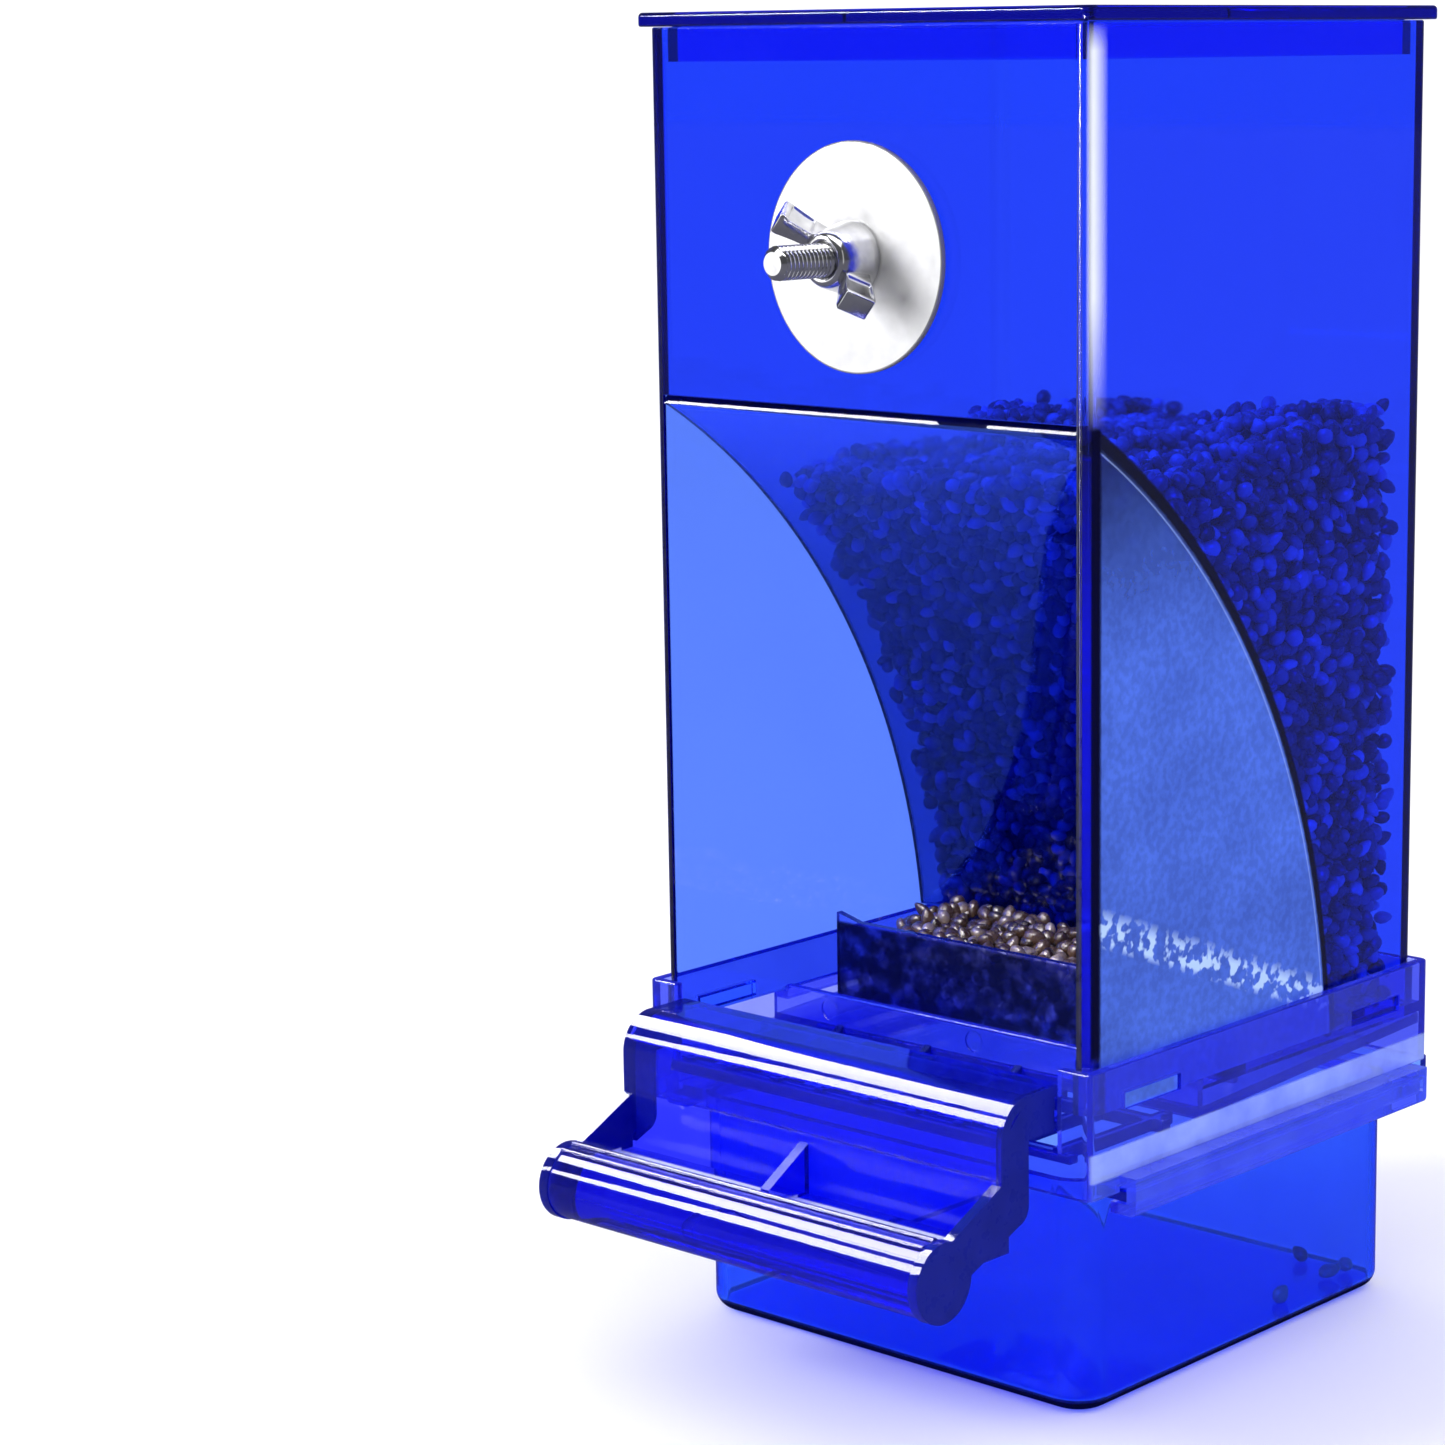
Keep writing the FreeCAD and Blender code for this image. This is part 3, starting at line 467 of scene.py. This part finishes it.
def mesh_of(name, bm, sharp=SHARP):
    """A mesh made of that bmesh, smooth but for its sharp edges."""
    bmesh.ops.recalc_face_normals(bm, faces=bm.faces)
    mesh = bpy.data.meshes.new(name)
    bm.to_mesh(mesh)
    bm.free()
    mesh.shade_smooth()
    mesh.set_sharp_from_angle(angle=math.radians(sharp))
    return mesh


def skin(bm, rings, closed=False):
    """Faces from each ring of corners to the next, as rows, and over the ends unless they meet."""
    count = len(rings[0])
    rows = []
    for one, two in zip(rings, rings[1:] + rings[:1] if closed else rings[1:]):
        rows.append([bm.faces.new([one[k], one[(k + 1) % count], two[(k + 1) % count], two[k]])
                     for k in range(count)])
    if not closed:
        bm.faces.new(rings[0])
        bm.faces.new(rings[-1])
    return rows


def lathe(bm, profile, segments):
    """Turns a closed profile of (radius, height) points about the Y axis, with height towards -Y."""
    turns = [2 * math.pi * step / segments for step in range(segments)]
    rings = [[bm.verts.new((radius * math.cos(a), -height, radius * math.sin(a))) for a in turns]
             for radius, height in profile]
    skin(bm, rings, closed=True)


def make_baffle():
    """The plate bent to one arc, with its edges rounded, cut level with the opening's top edge."""
    low, high = (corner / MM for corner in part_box("curved_baffle"))
    middle, half_thick = (BAFFLE_OUTER + BAFFLE_INNER) / 2, (BAFFLE_OUTER - BAFFLE_INNER) / 2
    steps = 64
    start = math.asin((low.z - BAFFLE_CENTRE[1]) / middle)
    end = math.acos((low.y - BAFFLE_CENTRE[0]) / BAFFLE_INNER)
    across = high.x - 0.02
    section = []
    for side, out in ((1, 1), (-1, 1), (-1, -1), (1, -1)):
        corner = [(across, half_thick - EDGE), (across - EDGE, half_thick)]
        if side * out < 0:
            corner.reverse()
        section += [(side * x, out * depth) for x, depth in corner]
    bm = bmesh.new()
    rings = []
    for step in range(steps + 1):
        angle = start + (end - start) * step / steps
        ring = []
        for x, depth in section:
            y = BAFFLE_CENTRE[0] + (middle + depth) * math.cos(angle)
            z = BAFFLE_CENTRE[1] + (middle + depth) * math.sin(angle)
            ring.append(bm.verts.new((x * MM, max(y, low.y) * MM, min(z, high.z) * MM)))
        rings.append(ring)
    skin(bm, rings)
    mesh = mesh_of("curved_baffle_plate", bm)
    plate = place_piece(mesh, baffle_plastic, "feeder", "curved_baffle")
    # The baffle's side edges are painted dark for the shade seen along the sheet.
    repaint(plate, cut_edge, lambda centre, normal: abs(centre.x) > across - EDGE / 2)


# ---------------------------------------------------------------- steel clamp

BOLT_AXIS = Vector((0, 0, BOLT_HEIGHT * MM))
NUT_TURN = math.radians(40)


def on_bolt(bm, height):
    """Moves what was turned about the Y axis onto the bolt's axis, from that Y."""
    bmesh.ops.translate(bm, verts=bm.verts, vec=BOLT_AXIS + Vector((0, height, 0)))


def make_disc():
    """The large thin disc that holds the cage's wires, with a rolled edge."""
    low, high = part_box("clamp_disc")
    radius = (high.x - low.x) / 2
    thick = high.y - low.y
    bore, roll = 3.3 * MM, 0.25 * MM
    bm = bmesh.new()
    profile = [(bore, 0), (radius - roll, 0), (radius - roll * 0.3, roll * 0.3), (radius, roll),
               (radius, thick - roll), (radius - roll * 0.3, thick - roll * 0.3),
               (radius - roll, thick), (bore + roll, thick), (bore, thick - roll)]
    lathe(bm, profile, 160)
    on_bolt(bm, high.y)
    place_piece(mesh_of("clamp_disc_plate", bm), disc_steel, "disc", "clamp_disc")


def make_washer():
    """The washer under the bolt's head."""
    low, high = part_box("bolt_washer")
    radius = (high.x - low.x) / 2
    thick = high.y - low.y
    bore, roll = 3.2 * MM, 0.2 * MM
    bm = bmesh.new()
    profile = [(bore, 0), (radius - roll, 0), (radius, roll), (radius, thick - roll),
               (radius - roll, thick), (bore, thick)]
    lathe(bm, profile, 96)
    on_bolt(bm, high.y)
    place_piece(mesh_of("bolt_washer_ring", bm), bright_steel, "feeder", "bolt_washer")


def make_bolt():
    """The bolt: a chamfered hexagon head, and a real helical thread from there to its chamfered end."""
    low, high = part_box("clamp_bolt")
    root, crest, pitch, chamfer, flank = 2.5 * MM, 2.99 * MM, 1.0 * MM, 0.5 * MM, 2.6
    across, head = (high.z - low.z) / 2, 4.0 * MM
    start, end = high.y - head, low.y
    turn_steps, pitch_steps = 48, 8
    bm = bmesh.new()
    count = int(round((start - end) / pitch * pitch_steps))
    rings = []
    for row in range(count + 1):
        y = start - (start - end) * row / count
        ring = []
        for step in range(turn_steps):
            angle = 2 * math.pi * step / turn_steps
            phase = (y / pitch + angle / (2 * math.pi)) % 1.0
            radius = root + (crest - root) * min(1.0, flank * min(phase, 1 - phase))
            radius = min(radius, root - chamfer + (y - end))
            ring.append(bm.verts.new((radius * math.cos(angle), y, radius * math.sin(angle))))
        rings.append(ring)
    skin(bm, rings)
    angles = [k * math.pi / 3 + math.pi / 6 for k in range(6)]
    levels = ((start, across * 0.94), (start + 0.35 * MM, across), (high.y - 0.5 * MM, across),
              (high.y, across * 0.9))
    skin(bm, [[bm.verts.new((size * math.cos(angle), y, size * math.sin(angle))) for angle in angles]
              for y, size in levels])
    bmesh.ops.translate(bm, verts=bm.verts, vec=BOLT_AXIS)
    mesh = mesh_of("clamp_bolt_threaded", bm, 40)
    place_piece(mesh, bright_steel, "feeder", "clamp_bolt")


def wing(bm, side):
    """One wing: a tapered ear from the hub outwards and up, with a sunk panel on both faces."""
    path = [(3.9, 3.2), (6.6, 5.0), (8.6, 6.7), (10.6, 8.4), (11.5, 9.2)]
    sizes = [(4.6, 3.4), (5.2, 3.0), (5.6, 3.3), (5.8, 4.0), (5.4, 4.0)]
    sections = []
    slope = Vector((path[-1][0] - path[0][0], path[-1][1] - path[0][1])).normalized()
    for (out, up), (wide, thick) in zip(path, sizes):
        corners = []
        for across, deep in ((-1, -1), (1, -1), (1, 1), (-1, 1)):
            r = out - slope.y * across * wide / 2
            h = up + slope.x * across * wide / 2
            corners.append(bm.verts.new((side * r * MM, -h * MM, deep * thick / 2 * MM)))
        sections.append(corners)
    rows = skin(bm, sections)
    sunk = [rows[place][k] for place in (1, 2) for k in (0, 2)]
    bmesh.ops.recalc_face_normals(bm, faces=bm.faces)
    bmesh.ops.inset_region(bm, faces=sunk, thickness=0.7 * MM, depth=-0.55 * MM)


def apply_modifiers(piece):
    """Gives the piece its evaluated mesh."""
    graph = bpy.context.evaluated_depsgraph_get()
    mesh = bpy.data.meshes.new_from_object(piece.evaluated_get(graph))
    piece.modifiers.clear()
    piece.data = mesh


def loose_object(name, bm):
    """An object for a modifier to use, outside the record."""
    bmesh.ops.recalc_face_normals(bm, faces=bm.faces)
    mesh = bpy.data.meshes.new(name)
    bm.to_mesh(mesh)
    bm.free()
    item = bpy.data.objects.new(name, mesh)
    bpy.context.scene.collection.objects.link(item)
    return item


def make_wing_nut():
    """The cast wing nut: a domed hub and two ears."""
    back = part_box("wing_nut")[1].y
    bm = bmesh.new()
    profile = [(3.05, 0.0), (6.2, 0.0), (6.5, 0.3), (6.5, 1.0), (6.35, 1.6), (6.05, 2.6), (5.7, 4.0),
               (5.35, 5.4), (5.0, 6.6), (4.7, 7.3), (4.3, 7.8), (3.8, 8.0), (3.4, 7.95), (3.05, 7.6)]
    lathe(bm, [(r * MM, h * MM) for r, h in profile], 72)
    hub = loose_object("wing_nut_hub", bm)
    ears = []
    for side in (-1, 1):
        bm = bmesh.new()
        wing(bm, side)
        ear = loose_object("wing_nut_ear", bm)
        edge = ear.modifiers.new("edge", "BEVEL")
        edge.width = 0.55 * MM
        edge.segments = 3
        edge.limit_method = "ANGLE"
        edge.angle_limit = math.radians(SHARP)
        apply_modifiers(ear)
        ears.append(ear)
    for ear in ears:
        union = hub.modifiers.new("union", "BOOLEAN")
        union.operation = "UNION"
        union.solver = "EXACT"
        union.object = ear
    apply_modifiers(hub)
    for ear in ears:
        bpy.data.objects.remove(ear)
    mesh = hub.data.copy()
    bpy.data.objects.remove(hub)
    mesh.name = "wing_nut_cast"
    turn = Matrix.Rotation(NUT_TURN, 4, "Y")
    mesh.transform(Matrix.Translation(BOLT_AXIS + Vector((0, back, 0))) @ turn)
    mesh.shade_smooth()
    mesh.set_sharp_from_angle(angle=math.radians(40))
    place_piece(mesh, bright_steel, "nut", "wing_nut")


# ---------------------------------------------------------------- seed

random = np.random.default_rng(7)

# In millimetres: the space that the seed fills, then half a seed's three widths, the grid of the seeds,
# how far their middles keep from the walls, and how thick a layer of seeds is made.
SIDE, BACK, TROUGH_FRONT, BAFFLE_FOOT = 47.3, 47.85, -3.7, 67.0
FILL_LEVEL, TROUGH_LEVEL = 165.5, 68.6
SEED_HALF = np.array([2.0, 1.5, 1.25])
SEED_GRID, SEED_MARGIN, SHELL = 2.95, 1.75, 3.6
DRAWER_FLOOR, STRAY_GAP = 2.3, 0.35


def tray_top(y):
    """Height of the sloping tray's upper face."""
    return TRAY_FLOOR + TRAY_SLOPE * y


def fill_top(x, y):
    """Height of the seed behind the baffle, which slopes down to the front."""
    waves = 1.3 * np.sin(x / 9.0 + 1.0) * np.cos(y / 11.0) + 0.8 * np.sin(x / 4.1 - y / 5.3)
    return FILL_LEVEL + 0.04 * x + 0.1 * y + waves


def trough_top(x, y):
    """Height of the seed in the trough, which has slumped at the left."""
    slump = np.clip((-35.0 - x) / 12.0, 0, 1) * np.clip((24.0 - y) / 20.0, 0, 1)
    waves = 0.7 * np.sin(x / 5.0) * np.cos(y / 3.0)
    return TROUGH_LEVEL + 0.12 * (y - TROUGH_FRONT) - 9.0 * slump + waves


def clearance(x, y, z):
    """How far inside the seed's space a point is, in millimetres."""
    from_centre = np.hypot(y - BAFFLE_CENTRE[0], z - BAFFLE_CENTRE[1])
    walls = np.minimum.reduce([SIDE - np.abs(x), BACK - y, z - tray_top(y)])
    behind = np.minimum.reduce([walls, from_centre - BAFFLE_OUTER, fill_top(x, y) - z])
    under = np.maximum(BAFFLE_FOOT - z, BAFFLE_INNER - from_centre)
    ahead = np.minimum.reduce([walls, y - TROUGH_FRONT, trough_top(x, y) - z, under])
    return np.maximum(behind, ahead)


def seed_places():
    """Jittered close-packed places in the outer layers of the seed."""
    step, reach = SEED_GRID, 50
    layers = np.arange(52, 178, step * math.sqrt(2 / 3))
    rows = np.arange(-reach, reach, step * math.sqrt(3) / 2)
    columns = np.arange(-reach, reach, step)
    counts = [range(len(lines)) for lines in (layers, rows, columns)]
    layer, row, column = np.meshgrid(*counts, indexing="ij")
    x = columns[column] + (row % 2) * step / 2 + (layer % 2) * step / 2
    y = rows[row] + (layer % 2) * step / (2 * math.sqrt(3))
    z = layers[layer]
    places = np.stack([x.ravel(), y.ravel(), z.ravel()], axis=1)
    places += random.normal(0, 0.16 * step, places.shape)
    depth = clearance(*places.T)
    return places[(depth > SEED_MARGIN) & (depth < SEED_MARGIN + SHELL)]


def random_turns(count):
    """That many random rotation matrices."""
    q = random.normal(size=(count, 4))
    q /= np.linalg.norm(q, axis=1)[:, None]
    w, x, y, z = q.T
    terms = [1 - 2 * (y * y + z * z), 2 * (x * y - z * w), 2 * (x * z + y * w),
             2 * (x * y + z * w), 1 - 2 * (x * x + z * z), 2 * (y * z - x * w),
             2 * (x * z - y * w), 2 * (y * z + x * w), 1 - 2 * (x * x + y * y)]
    return np.stack(terms, axis=1).reshape(-1, 3, 3)


def seed_form(subdivisions):
    """One seed of unit half length: a plump drop with a ridge."""
    bm = bmesh.new()
    bmesh.ops.create_icosphere(bm, subdivisions=subdivisions, radius=1.0)
    points = np.array([v.co for v in bm.verts])
    faces = np.array([[v.index for v in f.verts] for f in bm.faces])
    bm.free()
    taper = 1 - 0.22 * points[:, 0] - 0.15 * points[:, 0] ** 2
    points[:, 1] *= taper
    points[:, 2] *= taper * (1 - 0.2 * (points[:, 2] > 0) * np.abs(points[:, 1]))
    return points, faces


def seed_mesh(name, places, subdivisions):
    """One mesh of separate seeds, each turned, sized and toned at random."""
    form, faces = seed_form(subdivisions)
    count = len(places)
    sizes = SEED_HALF * random.normal(1.0, 0.07, (count, 3)).clip(0.8, 1.15)
    local = form[None] * sizes[:, None]
    points = np.einsum("nij,nkj->nki", random_turns(count), local) + places[:, None]
    corners = (faces[None] + len(form) * np.arange(count)[:, None, None]).reshape(-1, 3)
    mesh = bpy.data.meshes.new(name)
    mesh.from_pydata(points.reshape(-1, 3) * MM, [], corners)
    tone = mesh.attributes.new("seed_tone", "FLOAT", "POINT")
    tones = random.beta(1.6, 1.9, count)
    tone.data.foreach_set("value", np.repeat(tones, len(form)).astype(np.float32))
    mesh.shade_smooth()
    return mesh


def make_seed_fill():
    """The seed that shows through the walls and in the trough."""
    places = seed_places()
    open_air = (places[:, 2] > 62) & (places[:, 2] < 76) & (places[:, 1] < 24)
    fine, coarse = places[open_air], places[~open_air]
    place_piece(seed_mesh("trough_seed", fine, 3), husk, "feeder")
    per_piece = 2400
    order = coarse[np.lexsort(coarse.T)]
    for part, start in enumerate(range(0, len(order), per_piece)):
        name = f"hopper_seed_{part + 1}"
        place_piece(seed_mesh(name, order[start:start + per_piece], 2), shaded_husk, "feeder")


def make_seed_core():
    """The middle of the seed, painted near black for the shade in the gaps between the seeds, where alone
    it shows.
    """
    inset = SEED_MARGIN + SHELL - 1.0
    radius = BAFFLE_OUTER + inset
    top = FILL_LEVEL - 0.5 - inset
    foot_angle = math.asin((BAFFLE_FOOT - BAFFLE_CENTRE[1]) / radius)
    top_angle = math.asin((top - 4.0 - BAFFLE_CENTRE[1]) / radius)
    angles = np.linspace(foot_angle, top_angle, 24)
    outline = [(BAFFLE_CENTRE[0] + radius * math.cos(angle), BAFFLE_CENTRE[1] + radius * math.sin(angle))
               for angle in angles]
    outline += [(BACK - inset, top + 3.0), (BACK - inset, tray_top(BACK) + inset),
                (TROUGH_FRONT + inset, tray_top(0) + inset), (TROUGH_FRONT + inset, 63.5), (18.0, 64.5)]
    bm = bmesh.new()
    half = SIDE - inset
    left = [bm.verts.new((-half * MM, y * MM, z * MM)) for y, z in outline]
    right = [bm.verts.new((half * MM, y * MM, z * MM)) for y, z in outline]
    bm.faces.new(left)
    bm.faces.new(right)
    for k in range(len(outline)):
        after = (k + 1) % len(outline)
        bm.faces.new([left[k], left[after], right[after], right[k]])
    bm.normal_update()
    bmesh.ops.triangulate(bm, faces=[f for f in bm.faces if len(f.verts) > 4])
    place_piece(mesh_of("hopper_seed_core", bm), shaded_husk, "feeder")


def make_strays():
    """Four seeds that fell through the grille onto the drawer's floor."""
    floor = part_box("husk_drawer")[0].z / MM + DRAWER_FLOOR + SEED_HALF[2]
    spots = [(29.0, 43.0), (39.6, 43.2), (39.2, 38.4), (39.7, 21.4)]
    places = np.array([(x, y, floor + STRAY_GAP) for x, y in spots])
    place_piece(seed_mesh("stray_seed", places, 3), husk, "drawer")


# ---------------------------------------------------------------- stage

def steel_pieces():
    """The pieces of the clamp."""
    meshes = [item for item in bpy.context.scene.objects if item.type == "MESH" and item.data.materials]
    return [item for item in meshes if item.data.materials[0] in (bright_steel, disc_steel)]


def group(name, pieces, state):
    """Those pieces, for a light to take alone or to leave out."""
    chosen = bpy.data.collections.new(name)
    for piece in pieces:
        chosen.objects.link(piece)
    for item in chosen.collection_objects:
        item.light_linking.link_state = state
    return chosen


def light(name, place, target, size, power, gloss_only=False, receivers=None):
    """A soft rectangular light that faces its target, or a card that only mirrors see."""
    data = bpy.data.lights.new(name, "AREA")
    data.shape = "RECTANGLE"
    data.size, data.size_y = size
    data.energy = power
    lamp = bpy.data.objects.new(name, data)
    lamp.location = place
    lamp.rotation_euler = (Vector(target) - Vector(place)).to_track_quat("-Z", "Y").to_euler()
    bpy.context.scene.collection.objects.link(lamp)
    lamp.light_linking.receiver_collection = receivers
    lamp.visible_camera = False
    lamp.visible_diffuse = not gloss_only
    lamp.visible_transmission = not gloss_only


def mirror_mix(tree, direct, mirrored):
    """One shader, but another where a mirror sees it."""
    path = tree.nodes.new("ShaderNodeLightPath")
    both = tree.nodes.new("ShaderNodeMath")
    both.operation = "MULTIPLY"
    tree.links.new(path.outputs["Is Reflection Ray"], both.inputs[0])
    tree.links.new(path.outputs["Is Glossy Ray"], both.inputs[1])
    mix = tree.nodes.new("ShaderNodeMixShader")
    tree.links.new(both.outputs[0], mix.inputs[0])
    tree.links.new(direct.outputs[0], mix.inputs[1])
    tree.links.new(mirrored.outputs[0], mix.inputs[2])
    return mix


def make_floor():
    """A wide pale floor, which mirrors see as a grey one."""
    mesh = bpy.data.meshes.new("floor")
    half, drop = 8.0, -0.3 * MM
    mesh.from_pydata([(-half, -half, drop), (half, -half, drop), (half, half, drop),
                      (-half, half, drop)], [], [(0, 1, 2, 3)])
    floor = bpy.data.objects.new("floor", mesh)
    bpy.context.scene.collection.objects.link(floor)
    material, tree = new_tree("floor")
    pale = add(tree, "ShaderNodeBsdfDiffuse", Color=(0.97, 0.97, 0.97, 1.0))
    grey = add(tree, "ShaderNodeBsdfDiffuse", Color=(0.14, 0.14, 0.17, 1.0))
    mix = mirror_mix(tree, pale, grey)
    finish_tree(tree, mix)
    mesh.materials.append(material)


def make_world():
    """White all round, and a dim studio in reflections."""
    world = bpy.data.worlds.new("studio")
    bpy.context.scene.world = world
    world.use_nodes = True
    tree = world.node_tree
    tree.nodes.clear()
    white = add(tree, "ShaderNodeBackground", Color=(1.0, 1.0, 1.0, 1.0), Strength=1.12)
    dim = add(tree, "ShaderNodeBackground", Color=(0.9, 0.93, 1.0, 1.0), Strength=0.1)
    mix = mirror_mix(tree, white, dim)
    out = tree.nodes.new("ShaderNodeOutputWorld")
    tree.links.new(mix.outputs[0], out.inputs["Surface"])


def make_camera():
    """The camera, level with the lid and off the near right corner, looking a little down."""
    down, around, roll = 10.51, 41.49, -0.57
    lens = bpy.data.cameras.new("camera")
    lens.lens = 91.2
    lens.shift_x = -0.1
    lens.clip_start = 0.01
    camera = bpy.data.objects.new("camera", lens)
    camera.location = (0.4214, -0.5256, 0.2375)
    look = Euler((math.radians(90 - down), 0, math.radians(around))).to_matrix()
    camera.rotation_euler = (look @ Matrix.Rotation(math.radians(roll), 3, "Z")).to_euler()
    bpy.context.scene.collection.objects.link(camera)
    bpy.context.scene.camera = camera


def opening_edge(centre, normal):
    """The cut faces round the bird's opening in the hopper's front."""
    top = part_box("curved_baffle")[1].z / MM
    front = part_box("hopper_shell")[0].y / MM
    jamb = normal.y < -0.9 and centre.z < top and centre.y < front + 4
    head = normal.z < -0.9 and abs(centre.z - top) < 0.5
    return jamb or head


def end_face(centre, normal):
    """The outer faces of the perch bracket's end plates."""
    return abs(normal.x) > 0.9 and abs(centre.x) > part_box("perch_bracket")[1].x / MM - 1.0


def rib_top(centre, normal):
    """The sloping edge of the perch bracket's middle rib."""
    return abs(centre.x) < 2 and abs(normal.x) < 0.1 and normal.z > 0.2 and normal.y < -0.2


def bar_side(centre, normal):
    """The upright sides of the grille's bars and gussets."""
    return abs(normal.z) < 0.1


made = {}
MOULDINGS = [
    ("hopper_shell", "feeder", "hopper_plastic"),
    ("lid", "lid", "hopper_plastic"),
    ("base_frame", "feeder", "frame_plastic"),
    ("seed_tray", "feeder", "frame_plastic"),
    ("husk_grille", "feeder", "frame_plastic"),
    ("perch_bracket", "feeder", "frame_plastic"),
    ("perch_bar", "feeder", "perch_plastic"),
    ("husk_drawer", "drawer", "drawer_plastic"),
]
for node, body, slot in MOULDINGS:
    made[node] = moulded(node, body, slot)
made["seed_tray"].data.materials[0] = tray_plastic
made["perch_bracket"].data.materials[0] = bracket_plastic
# The faces round the opening are painted dark for the shade seen along the wall's sheet.
repaint(made["hopper_shell"], cut_edge, opening_edge)
# The bracket's end plates are painted navy for the shade seen looking into the plastic.
repaint(made["perch_bracket"], navy_face, end_face)
# The rib's sloping edge is painted a dull blue for its shade.
repaint(made["perch_bracket"], blue_edge, rib_top)
# The sides of the grille's bars are painted navy for the shade in the slots between them.
repaint(made["husk_grille"], navy_face, bar_side)
make_baffle()
make_disc()
make_washer()
make_bolt()
make_wing_nut()
make_seed_fill()
make_seed_core()
make_strays()

make_floor()
make_world()
plastic_only = group("steel_left_out", steel_pieces(), "EXCLUDE")
below_lid = group("steel_and_lid_left_out", steel_pieces() + [made["lid"]], "EXCLUDE")
steel_only = group("steel_alone", steel_pieces(), "INCLUDE")
clamp_middle = (0.0, -0.06, 0.2)
light("key", (-0.75, -0.85, 0.65), (0.0, -0.05, 0.2), (0.35, 0.35), 8.0)
light("overhead_gloss", (-0.1, -0.3, 0.68), (0.0, -0.2, 0.0), (1.5, 0.7), 60.0, True, below_lid)
light("corner_gloss", (-0.03, -0.7, 0.15), (0.05, -0.05, 0.19), (0.07, 0.2), 2.0, True, plastic_only)
light("glint", (0.45, -0.6, 0.9), (0.0, 0.0, 0.12), (0.12, 0.12), 14.0, True, plastic_only)
light("steel_top", (0.1, -0.35, 0.95), clamp_middle, (0.9, 0.5), 4.6, True, steel_only)
light("steel_front", (-0.7, -0.85, 0.22), clamp_middle, (0.35, 0.6), 1.1, True, steel_only)
light("steel_side", (0.8, -0.5, 0.35), clamp_middle, (0.2, 0.8), 0.3, True, steel_only)
make_camera()

scene = bpy.context.scene
scene.view_settings.view_transform = "Standard"
scene.cycles.max_bounces = 24
scene.cycles.transmission_bounces = 20
scene.cycles.transparent_max_bounces = 24
scene.cycles.glossy_bounces = 8
scene.cycles.use_denoising = True
